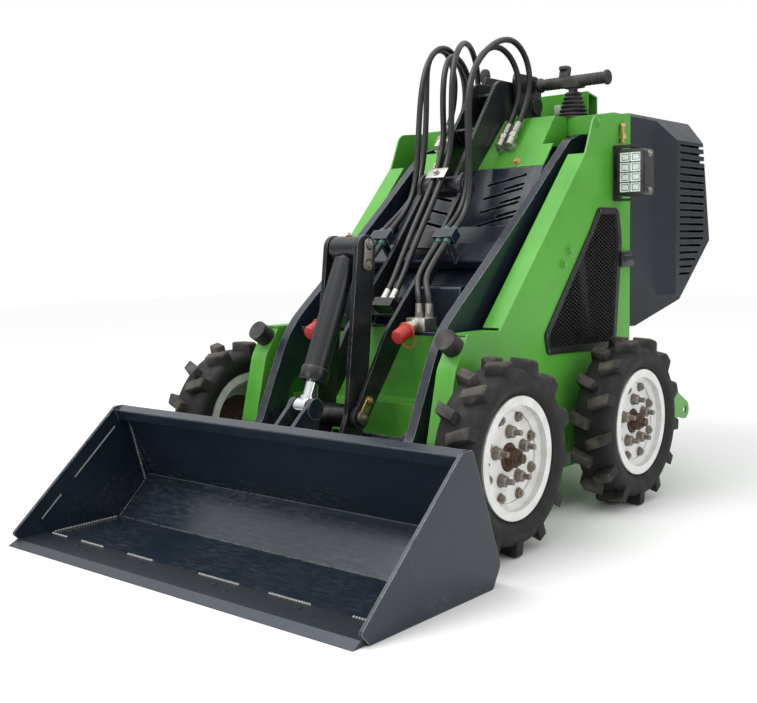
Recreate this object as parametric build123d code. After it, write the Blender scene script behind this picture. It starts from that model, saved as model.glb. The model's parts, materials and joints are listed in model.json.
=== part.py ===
"""Compact stand-on skid steer loader with a smooth-lip bucket.

Built in millimetres with +X forward, +Y to the machine's left and +Z up.
While the pieces are drawn, x is measured from the front axle. They are
written with x measured from the middle of the machine's length.
"""
import math
import os

from build123d import *

os.makedirs("parts", exist_ok=True)

# Overall layout
FRONT_REACH = 668
REAR_REACH = 1330
FRONT_AXLE_X = (REAR_REACH - FRONT_REACH) / 2
WHEELBASE = 621
RUNNING_GAP = 0.05
SEAT_GAP = 0.3

# Wheels
TYRE_RADIUS = 230
TYRE_WIDTH = 114
LUG_HEIGHT = 25
LUG_WIDTH = 29
LUG_SLANT = 24
LUG_COUNT = 13
RIM_FLANGE_RADIUS = 144
RIM_SEAT_RADIUS = 127
RIM_WELL_RADIUS = 112
RIM_HALF_WIDTH = 46
RIM_METAL = 5
DISC_OFFSET = 14
HUB_HOLE_RADIUS = 34
HUB_FLANGE_RADIUS = 76
HUB_NOSE_RADIUS = 17
STUD_COUNT = 5
STUD_CIRCLE = 60
STUD_RADIUS = 6
RIM_BOLT_COUNT = 8
RIM_BOLT_CIRCLE = 98
SPINDLE_RADIUS = 20
SPINDLE_DEPTH = 40

# Chassis
SHEET = 5
PLATE = 8
HOOD_HALF = 224
HOOD_NECK = HOOD_HALF - 34
ARM_GAP = 18
ARM_THICK = 26
ARM_INNER = HOOD_HALF + ARM_GAP
ARM_OUTER = ARM_INNER + ARM_THICK
RAIL_GAP = 22
RAIL_WIDTH = 55
RAIL_Y = ARM_OUTER + RAIL_GAP
TOWER_Y = RAIL_Y + RAIL_WIDTH
WHEEL_Y = TOWER_Y + 100.5
GROUND_CLEARANCE = 114
FRONT_WALL_X = -150
FRONT_WALL_TOP = 505
LOWER_FRONT_X = -62
LOWER_FRONT_TOP = 318
REAR_WALL_X = -837
DECK_Z = 1088
MOTOR_RADIUS = 48
MOTOR_LENGTH = 45

# Arm pivots, as (x, z)
ARM_PIVOT = (-700, 955)
BUCKET_PIVOT = (150, 115)
LINK_PIN = (66, 296)
LINK_PIVOT = (
    ARM_PIVOT[0] + LINK_PIN[0] - BUCKET_PIVOT[0],
    ARM_PIVOT[1] + LINK_PIN[1] - BUCKET_PIVOT[1],
)

# Arms
ARM_BOSS = 75
ARM_PIN_RADIUS = 20
BUCKET_PIN_RADIUS = 15

# Lift cylinders, in the plane of the arms
LIFT_BASE = (-780, 280)
LIFT_EYE = (-668.7, 777.7)
LIFT_BARREL_RADIUS = 24
LIFT_ROD_RADIUS = 14
LIFT_PIN_RADIUS = 11
LIFT_Y = ARM_INNER + ARM_THICK / 2

# Level link and lever
LEVER_INNER = 46
LEVER_PLATE = 12
LINK_GAP = 5
LINK_PLATE = 10
LINK_INNER = LEVER_INNER + LEVER_PLATE + LINK_GAP
LINK_PIN_RADIUS = 13
BLADE_INNER = 34
BLADE_PLATE = 10
BRACKET_INNER = BLADE_INNER + BLADE_PLATE + LINK_GAP
BRACKET_PLATE = 10
LINK_TUBE = (-400, 884)
LINK_TUBE_RADIUS = 30

# Tilt cylinder
TILT_BASE = (15, 715)
TILT_EYE = (190, 330)
TILT_BARREL_RADIUS = 31
TILT_ROD_RADIUS = 15
TILT_PIN_RADIUS = 12
TILT_EYE_HALF = 18

# Bucket
BUCKET_WIDTH = 1150
BUCKET_SHEET = 6
BUCKET_SIDE = 8
EDGE_PLATE = 12
EDGE_DEPTH = 110
EAR_PLATE = 12
EAR_INNER = 150

# Sheet metal details
MESH_PITCH = (30, 50)
MESH_STRAND = 5
SLOT_ROWS = 7
SLOT_PITCH = 22
SLOT_LONG = 130
SLOT_SHORT = 70
SLOT_OUTER = 182
SLOT_WIDTH = 9
SLOT_TILT = 14
COVER_LOW = 461
COVER_HIGH = DECK_Z + 6
COVER_HALF = TOWER_Y + 35
DASH_RISE = 82
DASH_TOP = COVER_HIGH + DASH_RISE
DASH_X = REAR_WALL_X - 29
COVER_REAR = REAR_REACH
COVER_WALL = 4
LOUVRE_ROWS = 19
LOUVRE_LOW = 620
LOUVRE_PITCH = 22
LOUVRE_GAP = 8
ENGINE_SIZE = (310, 400, 380)
ENGINE_ROOM = 109
ENGINE_Z = COVER_HIGH - ENGINE_ROOM - ENGINE_SIZE[2] / 2
STEP_Y = TOWER_Y - 11
STEP_EYE = (-1258, 170)
STEP_EYE_RADIUS = 13

# Controls, lamps and hydraulics
BOOT_HEIGHT = 72
HANDLE_XY = (-786, 186)
HANDLE_Z = DECK_Z + 108
HANDLE_RADIUS = 17
HANDLE_LENGTH = 234
JOYSTICK_XY = (-765, -112)
GRAB_BAR = (-790, -180, -150)
LAMP_CENTRE = (-725, TOWER_Y + 59, 915)
LAMP_SIZE = (84, 130, 56)
STOP_UP = 60
PORT_STEM = 74
# columns: y, distance up the light panel
PORTS = [(62, 72), (93, 76), (-90, 62), (-132, 104), (-170, 90)]
DECK_PORT = (-690, -88)
MID_BEAM = (-317, 703)
MID_BEAM_DEPTH = 30
LOWER_PLATE = [(84, 120), (8, 284)]
COUPLER_AT = (-84, 500)
COUPLER_Y = 150
LIFT_HEAD = 80
LIFT_FORK = 58
TILT_HEAD = 68
TILT_COLLAR = 28
TILT_ROD_TAIL = 160
BUCKET_BOSS = 57
LINK_TIES = [(-150, 560), (-300, 735)]
LINK_TIE_TURN = -41
LINK_HOSE_OUT = 25
BLADE_TIES = [(-520, 1030), (-640, 1140)]


def outline(points, radii=0):
    """Face in the XZ plane from (x, z) points, with its corners rounded."""
    path = FilletPolyline(*[(x, z) for x, z in points], radius=radii, close=True)
    return make_face(path.edges())


def slab(face, low, high):
    """Plate from a face drawn as (x, z), spanning low to high across Y."""
    return Pos(0, high, 0) * extrude(Plane.XZ * face, amount=high - low)


def plate(points, low, high, radii=0):
    return slab(outline(points, radii), low, high)


def disc(centre, radius, low, high):
    """Round bar or hole along Y at an (x, z) centre."""
    return slab(Pos(*centre) * Circle(radius), low, high)


def bar(start, end, start_radius, end_radius):
    """Flat bar outline with a round end about each of two (x, z) points."""
    ends = [Pos(*start) * Circle(start_radius), Pos(*end) * Circle(end_radius)]
    return make_hull(ends[0].edges() + ends[1].edges())


def toward(start, end, distance):
    """The (x, z) point a distance along the line from start to end."""
    length = math.dist(start, end)
    return tuple(a + (b - a) * distance / length for a, b in zip(start, end))


def strip(points, thickness):
    """Outline of a bent sheet: the points and a copy offset to their right."""
    inner = []
    for index, (x, z) in enumerate(points):
        normals = []
        for a, b in ((index - 1, index), (index, index + 1)):
            if a >= 0 and b < len(points):
                dx = points[b][0] - points[a][0]
                dz = points[b][1] - points[a][1]
                run = math.hypot(dx, dz)
                normals.append((dz / run, -dx / run))
        nx = sum(n[0] for n in normals)
        nz = sum(n[1] for n in normals)
        scale = len(normals) / (nx * nx + nz * nz) * thickness
        if len(normals) == 1:
            scale = thickness
        inner.append((x + nx * scale, z + nz * scale))
    return list(points) + inner[::-1]


def both_sides(shape):
    return shape + mirror(shape, Plane.XZ)


def along(start, end, radius, low=0.0, high=None):
    """Round bar lying in the XZ plane at y = 0, from start towards end."""
    span = math.dist(start, end) if high is None else high
    dx, dz = toward((0, 0), (end[0] - start[0], end[1] - start[1]), 1)
    place = Plane(origin=(start[0], 0, start[1]), x_dir=(0, 1, 0), z_dir=(dx, 0, dz))
    return place * (Pos(0, 0, low) * extrude(Circle(radius), amount=span - low))


def write(name, shape):
    placed = Pos(FRONT_AXLE_X, 0, 0) * shape
    export_step(placed, f"parts/{name}.step")
    return placed


# Wheels, drawn about their own centre with the outer side towards +Y
def ring(points, radii=0):
    """Solid of revolution about Y from (side, radius) points."""
    face = make_face(FilletPolyline(*points, radius=radii, close=True).edges())
    turned = Plane(origin=(0, 0, 0), x_dir=(0, 1, 0), z_dir=(-1, 0, 0)) * face
    return revolve(turned, axis=Axis.Y)


def facet_ring(points, count):
    """Ring about Y with flat facets, from a closed (side, radius) profile."""
    faces = []
    for (side_a, radius_a), (side_b, radius_b) in zip(points, points[1:] + points[:1]):
        for index in range(count):
            corners = []
            for side, radius, step in (
                (side_a, radius_a, 0), (side_b, radius_b, 0), (side_b, radius_b, 1),
                (side_a, radius_a, 1),
            ):
                turn = 2 * math.pi * (index + step) / count
                corners.append((radius * math.sin(turn), side, radius * math.cos(turn)))
            faces.append(Face(Wire.make_polygon(corners, close=True)))
    return Solid(Shell(faces))


def tyre():
    """Heavy tyre with slanted lugs in two staggered rows."""
    half = TYRE_WIDTH / 2
    carcass = TYRE_RADIUS - LUG_HEIGHT
    bead = RIM_SEAT_RADIUS + 3 * SEAT_GAP
    side = RIM_HALF_WIDTH - RIM_METAL - SEAT_GAP
    profile = [
        (side, bead), (side, RIM_FLANGE_RADIUS + 4), (half, carcass - 25),
        (half - 12, carcass), (12 - half, carcass), (-half, carcass - 25),
        (-side, RIM_FLANGE_RADIUS + 4), (-side, bead),
    ]
    body = facet_ring(profile, 3 * LUG_COUNT)
    lean = LUG_SLANT / 2
    plan = [
        (-lean - LUG_WIDTH / 2, half - 1), (LUG_WIDTH / 2 - lean + 2, half - 1),
        (lean + LUG_WIDTH / 2 - 2, 2), (lean - LUG_WIDTH / 2, -5),
    ]
    lug_low = carcass - 16
    lug = Pos(0, 0, lug_low) * extrude(make_face(Polyline(*plan, close=True)), TYRE_RADIUS - lug_low)
    lug = chamfer(lug.edges().group_by(Axis.Z)[-1].group_by(Axis.Y)[-1], 9)
    lugs = []
    for index in range(LUG_COUNT):
        for row, shape in enumerate((lug, mirror(lug, Plane.XZ))):
            lugs.append(Rot(0, 180 + 360 * (index + row / 2) / LUG_COUNT, 0) * shape)
    return body + lugs


def rim():
    edge = RIM_HALF_WIDTH
    metal = RIM_METAL
    barrel = [
        (edge, RIM_FLANGE_RADIUS), (edge - metal, RIM_FLANGE_RADIUS),
        (edge - metal, RIM_SEAT_RADIUS), (edge - 18, RIM_SEAT_RADIUS),
        (edge - 26, RIM_WELL_RADIUS), (26 - edge, RIM_WELL_RADIUS),
        (18 - edge, RIM_SEAT_RADIUS), (metal - edge, RIM_SEAT_RADIUS),
        (metal - edge, RIM_FLANGE_RADIUS), (-edge, RIM_FLANGE_RADIUS),
        (-edge, RIM_SEAT_RADIUS - metal), (15 - edge, RIM_SEAT_RADIUS - metal),
        (23 - edge, RIM_WELL_RADIUS - metal), (edge - 23, RIM_WELL_RADIUS - metal),
        (edge - 15, RIM_SEAT_RADIUS - metal), (edge, RIM_SEAT_RADIUS - metal),
    ]
    dish = [
        (DISC_OFFSET, HUB_HOLE_RADIUS), (DISC_OFFSET + metal, HUB_HOLE_RADIUS),
        (DISC_OFFSET + metal, RIM_WELL_RADIUS - metal + 1),
        (DISC_OFFSET, RIM_WELL_RADIUS - metal + 1),
    ]
    body = ring(barrel) + ring(dish)
    for index in range(STUD_COUNT):
        turn = Rot(0, 360 * index / STUD_COUNT, 0)
        body += turn * disc((0, STUD_CIRCLE), STUD_RADIUS, DISC_OFFSET, DISC_OFFSET + 38)
        body += turn * disc((0, STUD_CIRCLE), 11, DISC_OFFSET + metal, DISC_OFFSET + 16)
    for index in range(RIM_BOLT_COUNT):
        turn = Rot(0, 360 * (index + 0.5) / RIM_BOLT_COUNT, 0)
        bolt_top = DISC_OFFSET + metal + 8
        body += turn * disc((0, RIM_BOLT_CIRCLE), 8, DISC_OFFSET + 1, bolt_top)
    return body


def hub():
    back = DISC_OFFSET - SEAT_GAP
    body = disc((0, 0), HUB_FLANGE_RADIUS, back - 12, back)
    body += disc((0, 0), HUB_HOLE_RADIUS - 3, back - 1, back + 8)
    body += disc((0, 0), 36, back - 40, back - 11)
    body += disc((0, 0), HUB_NOSE_RADIUS, back, back + 34)
    body += disc((0, 0), 11, back + 30, back + 46)
    inboard = TOWER_Y + MOTOR_LENGTH - WHEEL_Y
    body += disc((0, 0), SPINDLE_RADIUS, inboard - SPINDLE_DEPTH, back - 39)
    return body


def place_wheel(shape, x, left):
    placed = Pos(x, WHEEL_Y, TYRE_RADIUS) * shape
    return placed if left else mirror(placed, Plane.XZ)


# columns: name, x of the axle, left side or not
WHEELS = [
    ("front_left", 0, True),
    ("front_right", 0, False),
    ("rear_left", -WHEELBASE, True),
    ("rear_right", -WHEELBASE, False),
]

tyre_shape = tyre()
rim_shape = rim()
hub_shape = hub()
for wheel_name, axle_x, is_left in WHEELS:
    write(f"tyre_{wheel_name}", place_wheel(tyre_shape, axle_x, is_left))
    write(f"rim_{wheel_name}", place_wheel(rim_shape, axle_x, is_left))
    write(f"hub_{wheel_name}", place_wheel(hub_shape, axle_x, is_left))


# Chassis: a central box, two side rails and a belly plate
BODY_HALF = TOWER_Y - SHEET
SHELF_Z = FRONT_WALL_TOP + 3
FRONT_POST = [
    (83, GROUND_CLEARANCE), (83, 257), (40, 427), (-10, SHELF_Z), (FRONT_WALL_X + 3, SHELF_Z),
]
RAIL_TOP = 305
COVER_TOP = 615
CHANNEL_HALF = 92
CHANNEL_BEND = (-290, 630)
SLOT_BASE = (-460, 771)
HOOD_MID = (-552, 938)
HOOD_TOP = (-676, DECK_Z)
NECK_HIGH = DECK_Z - 86
HEADER_X = -745
HEADER_LOW = DECK_Z - 54


def drive_motors():
    """The four bearing housings that carry the wheel spindles."""
    body = None
    outer = TOWER_Y + MOTOR_LENGTH
    for _, axle_x, is_left in WHEELS:
        centre = (axle_x, TYRE_RADIUS)
        housing = disc(centre, MOTOR_RADIUS, TOWER_Y, outer)
        housing += disc(centre, MOTOR_RADIUS + 16, TOWER_Y, TOWER_Y + 12)
        housing -= disc(centre, SPINDLE_RADIUS + RUNNING_GAP, outer - SPINDLE_DEPTH - 1, outer)
        if not is_left:
            housing = mirror(housing, Plane.XZ)
        body = housing if body is None else body + housing
    return body


def chassis_tub():
    low = GROUND_CLEARANCE
    inside = REAR_WALL_X + SHEET
    belly_length = LOWER_FRONT_X - REAR_WALL_X
    belly = Pos(REAR_WALL_X + belly_length / 2, 0, low + PLATE / 2) * Box(
        belly_length, 2 * BODY_HALF, PLATE
    )
    front = plate(
        [(FRONT_WALL_X, low), (FRONT_WALL_X, FRONT_WALL_TOP),
         (FRONT_WALL_X - SHEET, FRONT_WALL_TOP), (FRONT_WALL_X - SHEET, low)],
        -HOOD_HALF, HOOD_HALF,
    )
    under_hood = strip([CHANNEL_BEND, SLOT_BASE, HOOD_MID, HOOD_TOP], -SHEET - SEAT_GAP)[4:]
    neck = toward(under_hood[1], under_hood[0], 40)
    wall = [
        (FRONT_WALL_X, low), (FRONT_WALL_X, FRONT_WALL_TOP - SHEET),
        (CHANNEL_BEND[0] - 20, CHANNEL_BEND[1] - 30), (under_hood[2][0] - 2, under_hood[2][1]),
        (under_hood[1][0] - 2, under_hood[1][1]), (neck[0] - 2, neck[1]),
        (REAR_WALL_X, neck[1]), (REAR_WALL_X, low),
    ]
    lower_front = plate(
        strip([(FRONT_WALL_X - 1, LOWER_FRONT_TOP), (LOWER_FRONT_X, LOWER_FRONT_TOP),
               (LOWER_FRONT_X, low)], SHEET),
        -RAIL_Y - 1, RAIL_Y + 1,
    )
    inner_wall = plate(wall, HOOD_HALF - SHEET, HOOD_HALF)
    rear = plate(
        [(REAR_WALL_X, low), (REAR_WALL_X, DECK_Z - SHEET),
         (inside, DECK_Z - SHEET), (inside, low)],
        -BODY_HALF, BODY_HALF,
    )
    post = FRONT_POST
    rail = plate(
        [(post[0][0], low), *post[1:3], (post[3][0], post[3][1] - SHEET),
         (post[4][0], post[4][1] - SHEET), (-240, RAIL_TOP), (REAR_WALL_X, RAIL_TOP),
         (REAR_WALL_X, low)],
        RAIL_Y, BODY_HALF, [0, 40, 60, 0, 20, 20, 0, 0],
    )
    rail -= plate(
        [(post[0][0] - SHEET, low + PLATE), (post[1][0] - SHEET, post[1][1]),
         (post[2][0] - SHEET, post[2][1] - 2), (post[3][0] - 3, post[3][1] - 2 * SHEET),
         (post[4][0] + SHEET, post[4][1] - 2 * SHEET), (-236, RAIL_TOP - SHEET),
         (inside, RAIL_TOP - SHEET), (inside, low + PLATE)],
        RAIL_Y + SHEET, TOWER_Y, [0, 35, 55, 0, 15, 15, 0, 0],
    )
    base_x, base_z = LIFT_BASE
    foot = (base_x - 10, low + 20)
    ear = slab(bar(LIFT_BASE, foot, 21, 36), ARM_INNER - 10, ARM_INNER - 3)
    ear -= Pos(base_x, 0, low - 50) * Box(200, 2 * TOWER_Y, 100)
    clevis = ear + Pos(0, ARM_THICK + 13, 0) * ear
    clevis += disc(LIFT_BASE, LIFT_PIN_RADIUS, ARM_INNER - 9, ARM_OUTER + 9)
    arm_pin = disc(ARM_PIVOT, ARM_PIN_RADIUS, HOOD_HALF - 1, BODY_HALF - SEAT_GAP)
    arm_pin += disc(ARM_PIVOT, ARM_PIN_RADIUS + 16, HOOD_HALF - 1, ARM_INNER - 2)
    return belly + front + lower_front + rear + both_sides(inner_wall + rail + clevis + arm_pin)


def tower():
    """Left tower: outer panel, folded front flange, top shelf and header."""
    flange_top = (-574, DECK_Z - 124)
    points = [*FRONT_POST, flange_top, (-622, DECK_Z - 16), (REAR_WALL_X, DECK_Z + 4),
              (REAR_WALL_X, GROUND_CLEARANCE)]
    panel = plate(points, BODY_HALF, TOWER_Y, [0, 40, 60, 6, 0, 60, 40, 0, 0])
    opening = [(-652, 806), (-748, 806), (-764, 730), (-734, 430), (-376, 440),
               (-366, 478), (-600, 742)]
    panel -= plate(opening, BODY_HALF - 1, TOWER_Y + 1, [14, 16, 30, 14, 10, 14, 40])
    shelf_low = FRONT_POST[4]
    start = toward(shelf_low, flange_top, 8)
    flange = plate(strip([start, flange_top], -SHEET), RAIL_Y, BODY_HALF)
    shelf = plate(strip([(FRONT_POST[3][0] + 2, SHELF_Z), shelf_low], -SHEET), RAIL_Y, BODY_HALF)
    header = plate(
        [(HEADER_X, HEADER_LOW), (HEADER_X, DECK_Z), (REAR_WALL_X, DECK_Z),
         (REAR_WALL_X, DECK_Z - SHEET), (HEADER_X - SHEET, DECK_Z - SHEET),
         (HEADER_X - SHEET, HEADER_LOW)],
        HOOD_NECK, BODY_HALF,
    )
    return panel + flange + shelf + header


def grille():
    """Expanded mesh screen in the left tower, in its own pressed frame."""
    edge = [(-642, 818), (-760, 818), (-780, 730), (-744, 418), (-366, 428),
            (-352, 482), (-594, 754)]
    rounds = [24, 26, 34, 22, 18, 20, 46]
    inner = [(-656, 800), (-744, 800), (-758, 730), (-728, 438), (-378, 446),
             (-374, 478), (-604, 738)]
    front = TOWER_Y + 4
    frame = plate(edge, TOWER_Y, front, rounds) - plate(inner, TOWER_Y - 1, front + 1, 8)
    wide, tall = MESH_PITCH
    half_x = (wide - MESH_STRAND) / 2
    half_z = (tall - MESH_STRAND) / 2
    holes = []
    for row in range(16):
        for column in range(15):
            x = inner[2][0] + column * wide + (row % 2) * wide / 2
            z = inner[3][1] + row * tall / 2
            diamond = [(x - half_x, z), (x, z + half_z), (x + half_x, z), (x, z - half_z)]
            holes.append(plate(diamond, TOWER_Y, TOWER_Y + 3))
    screen = plate(edge, TOWER_Y + 0.5, TOWER_Y + 2.5, rounds) - holes
    return frame + screen


def hood_lower():
    """Dark cover behind the front wall, with a channel for the level link."""
    foot = (FRONT_WALL_X, FRONT_WALL_TOP + SHEET)
    channel = plate(
        strip([foot, CHANNEL_BEND, SLOT_BASE], -SHEET), -HOOD_HALF + SHEET, HOOD_HALF - SHEET
    )
    box = plate(
        [(FRONT_WALL_X - 1, FRONT_WALL_TOP + 3), (FRONT_WALL_X - 8, COVER_TOP),
         (CHANNEL_BEND[0] + 10, COVER_TOP), (FRONT_WALL_X - 2, FRONT_WALL_TOP)],
        CHANNEL_HALF, HOOD_HALF - SHEET, [4, 10, 2, 0],
    )
    return channel + both_sides(box)


def hood_slotted():
    """Sloping plate with mirrored rows of slanted cooling slots."""
    top = toward(HOOD_MID, SLOT_BASE, 1)
    low = toward(SLOT_BASE, HOOD_MID, 1)
    body = plate(strip([low, top], -SHEET), -HOOD_HALF, HOOD_HALF)
    rise = math.dist(SLOT_BASE, HOOD_MID)
    up = toward((0, 0), (HOOD_MID[0] - SLOT_BASE[0], HOOD_MID[1] - SLOT_BASE[1]), 1)
    face = Plane(
        origin=(SLOT_BASE[0], 0, SLOT_BASE[1]), x_dir=(0, 1, 0), z_dir=(up[1], 0, -up[0])
    )
    slots = []
    for row in range(SLOT_ROWS):
        length = SLOT_LONG if row % 2 == 0 else SLOT_SHORT
        height = rise - 42 - row * SLOT_PITCH
        cut = Pos(SLOT_OUTER - length / 2, height, 0) * Rot(0, 0, SLOT_TILT)
        slot = face * (cut * extrude(SlotOverall(length, SLOT_WIDTH), 3 * SHEET, both=True))
        slots += [slot, mirror(slot, Plane.XZ)]
    return body - slots


def hood_upper():
    """Light panel above the slots, with the control deck and its riser."""
    low = toward(HOOD_MID, HOOD_TOP, 1)
    points = [low, HOOD_TOP, (REAR_WALL_X, DECK_Z)]
    body = plate(strip(points, -SHEET), -HOOD_HALF, HOOD_HALF)
    notch = plate(
        [(-400, NECK_HIGH), (-400, DECK_Z + 10), (REAR_WALL_X - 10, DECK_Z + 10),
         (REAR_WALL_X - 10, NECK_HIGH)],
        HOOD_NECK - SEAT_GAP, HOOD_HALF + 5,
    )
    body -= both_sides(notch)
    cheek = plate(
        [(HOOD_TOP[0] + 66, NECK_HIGH - 3), (HOOD_TOP[0] - 6, DECK_Z - SHEET / 2),
         (HEADER_X + SEAT_GAP, DECK_Z - SHEET / 2), (HEADER_X + SEAT_GAP, NECK_HIGH - 3)],
        HOOD_NECK - SHEET, HOOD_NECK - SEAT_GAP,
    )
    return body + both_sides(cheek)


def dash_panel():
    """Upright panel behind the controls, folded back along its top."""
    low = COVER_HIGH + SEAT_GAP
    points = [(DASH_X, low), (DASH_X, DASH_TOP), (DASH_X - 60, DASH_TOP - 12), (DASH_X - 60, low)]
    return plate(strip(points, -SHEET), -HOOD_NECK, HOOD_NECK)


# Rear cover: a faceted hood that swells outward behind the towers
def cover_form(inset):
    """Closed faceted form of the rear cover, shrunk by an even inset."""
    open_front = REAR_WALL_X + (10 if inset else 0)
    side = outline([
        (open_front, COVER_LOW + inset), (-1003 - inset / 3, COVER_LOW + inset),
        (-COVER_REAR + inset, 724), (59 - COVER_REAR + inset, COVER_HIGH - 54),
        (80 - COVER_REAR + inset, COVER_HIGH - inset),
        (open_front, COVER_HIGH - inset),
    ])
    solid = slab(side, -COVER_HALF + inset, COVER_HALF - inset)
    flat = TOWER_Y - inset
    past = -COVER_REAR - 70
    full = COVER_HALF - inset
    plan = Polyline(
        (open_front, -flat), (-1007 - inset / 3, -flat), (-1077, -full), (past, -full),
        (past, full), (-1077, full), (-1007 - inset / 3, flat), (open_front, flat), close=True,
    )
    solid &= extrude(make_face(plan), COVER_HIGH + 300)
    shoulder = COVER_HIGH - 64
    ends = Polyline(
        (-full, 300), (full, 300), (full, shoulder - inset / 2), (flat - 6, COVER_HIGH - inset),
        (6 - flat, COVER_HIGH - inset), (-full, shoulder - inset / 2), close=True,
    )
    solid &= Pos(-1500, 0, 0) * extrude(Plane.YZ * make_face(ends), 800)
    belly = Plane(
        origin=(-1084, COVER_HALF, 555), x_dir=(-244, 0, 169), z_dir=(0.36, 0.78, -0.52)
    ).offset(-inset)
    under = Plane(
        origin=(-1084, -COVER_HALF, 555), x_dir=(-244, 0, 169), z_dir=(0.36, -0.78, -0.52)
    ).offset(-inset)
    for cut in (belly, under):
        solid = split(solid, bisect_by=cut, keep=Keep.BOTTOM)
    return solid


def rear_cover():
    """Thin shell of the cover with louvres through its sides and back."""
    louvres = []
    for row in range(LOUVRE_ROWS):
        height = LOUVRE_LOW + row * LOUVRE_PITCH
        reach = min(1, (height - 560) / 170)
        rear = -1120 - 165 * reach
        louvre = Pos((rear - 1102) / 2, COVER_HALF, height) * Box(-1102 - rear, 30, LOUVRE_GAP)
        louvres += [louvre, mirror(louvre, Plane.XZ)]
    for row in range(LOUVRE_ROWS - 3):
        height = LOUVRE_LOW + 110 + row * LOUVRE_PITCH
        louvres.append(
            Pos(-COVER_REAR + 30, 0, height) * Box(120, 2 * COVER_HALF - 130, LOUVRE_GAP)
        )
    return cover_form(0) - cover_form(COVER_WALL) - louvres


def engine_block():
    length, width, height = ENGINE_SIZE
    return Pos(REAR_WALL_X - SEAT_GAP - length / 2, 0, ENGINE_Z) * Box(length, width, height)


def rear_step():
    """Brackets and tread plate that the operator stands on."""
    side = plate(
        [(REAR_WALL_X, 150), (REAR_WALL_X, 300), (-930, 300), (-1180, 262), (-1225, 205),
         (-1225, 150)],
        STEP_Y - PLATE, STEP_Y, [0, 0, 40, 60, 20, 20],
    )
    side += disc(STEP_EYE, 30, STEP_Y - PLATE, STEP_Y)
    side += slab(bar(STEP_EYE, (-1180, 200), 30, 40), STEP_Y - PLATE, STEP_Y)
    side -= disc(STEP_EYE, STEP_EYE_RADIUS, STEP_Y - PLATE - 1, STEP_Y + 1)
    tread = Pos(-1035, 0, 170) * Box(330, 2 * (STEP_Y - PLATE) + 2, 6)
    lip = Pos(-1202, 0, 160) * Box(6, 2 * (STEP_Y - PLATE) + 2, 26)
    tie = Pos(REAR_WALL_X - 4, 0, 170) * Box(8, 2 * (STEP_Y - PLATE) + 2, 40)
    return both_sides(side) + tread + lip + tie


def link_bracket():
    """Black cheeks on the deck that carry the level link's rear pin."""
    cheek = plate(
        [(-812, DECK_Z), (-816, 1190), (-796, 1224), (-676, 1224), (-668, 1200), (-706, DECK_Z)],
        BRACKET_INNER, BRACKET_INNER + BRACKET_PLATE, [0, 24, 16, 10, 20, 0],
    )
    foot = Pos(-758, BRACKET_INNER + BRACKET_PLATE + 9, DECK_Z + 3) * Box(100, 20, 6)
    pin = disc(LINK_PIVOT, LINK_PIN_RADIUS, -BRACKET_INNER - 16, BRACKET_INNER + 16)
    cap = disc(LINK_PIVOT, 26, BRACKET_INNER + BRACKET_PLATE - 1, BRACKET_INNER + 18)
    return both_sides(cheek + foot + cap) + pin


def boot(x, y, radius, folds, height):
    """Ribbed rubber gaiter that narrows upwards, standing on the deck."""
    body = None
    for index in range(folds):
        wide = radius * (1 - 0.5 * index / folds)
        fold = Cone(wide, wide * 0.86, height / folds, align=(Align.CENTER, Align.CENTER, Align.MIN))
        fold = Pos(x, y, DECK_Z + SEAT_GAP + index * height / folds) * fold
        body = fold if body is None else body + fold
    return body


def drive_handle():
    """T-bar drive control on the left of the deck."""
    x, y = HANDLE_XY
    top = DECK_Z + BOOT_HEIGHT
    body = boot(x, y, 44, 6, BOOT_HEIGHT)
    body += Pos(x, y, top + 22) * Cylinder(14, 50)
    body += Pos(x, y, top + 30) * Box(46, 60, 26)
    grip = Pos(x, y, HANDLE_Z) * Rot(90, 0, 0) * Cylinder(HANDLE_RADIUS, HANDLE_LENGTH)
    grip = fillet(grip.edges(), HANDLE_RADIUS * 0.6)
    body += grip
    body += Pos(x - 4, y - 30, HANDLE_Z + 26) * Box(22, 34, 50)
    return body


def joystick():
    """Second control lever, right of the link, with a small knob."""
    x, y = JOYSTICK_XY
    body = boot(x, y, 34, 5, 66)
    body += Pos(x, y, DECK_Z + 66 + 34) * Cylinder(7, 80)
    body += Pos(x, y, DECK_Z + 66 + 90) * Cylinder(15, 44)
    return body


def grab_bar():
    """Thin reference bar on the right of the deck."""
    x, low, high = GRAB_BAR
    height = 105
    path = FilletPolyline(
        (x, high, DECK_Z + SEAT_GAP), (x, high, DECK_Z + height), (x, low, DECK_Z + height),
        (x, low, DECK_Z + SEAT_GAP), radius=18,
    )
    return sweep(Plane(origin=(x, high, DECK_Z + SEAT_GAP), z_dir=(0, 0, 1)) * Circle(8), path=path)


def work_lamps():
    """Rectangular LED lamps in black brackets on the tower sides."""
    x, y, z = LAMP_CENTRE
    width, height, depth = LAMP_SIZE
    case = Pos(x - depth / 2, y, z) * Box(depth, width, height)
    case = fillet(case.edges().filter_by(Axis.X), 12)
    lens = Pos(x + 1, y, z) * Box(4, width - 14, height - 14)
    yoke = Pos(x - depth / 2, (TOWER_Y + y) / 2, z) * Box(
        depth * 0.8, y - TOWER_Y, height + 26
    )
    yoke -= Pos(x - depth / 2, (TOWER_Y + y) / 2 + 6, z) * Box(depth, y - TOWER_Y + 2, height + 14)
    bridge = Pos(x - depth / 2, TOWER_Y + 16, z) * Box(20, 30, 20)
    return both_sides(case + lens + yoke + bridge)


def bump_stops():
    """Rubber buffers at the top front corners that the arms rest against."""
    low, high = FRONT_POST[2:4]
    x, z = toward(low, high, STOP_UP)
    dx, dz = toward((0, 0), (high[0] - low[0], high[1] - low[1]), 1)
    middle = (RAIL_Y + TOWER_Y) / 2
    place = Plane(origin=(x, middle, z), x_dir=(0, 1, 0), z_dir=(dz, 0, -dx))
    body = place * (Pos(0, 0, SEAT_GAP) * extrude(Circle(27), 42))
    return both_sides(body)


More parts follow.
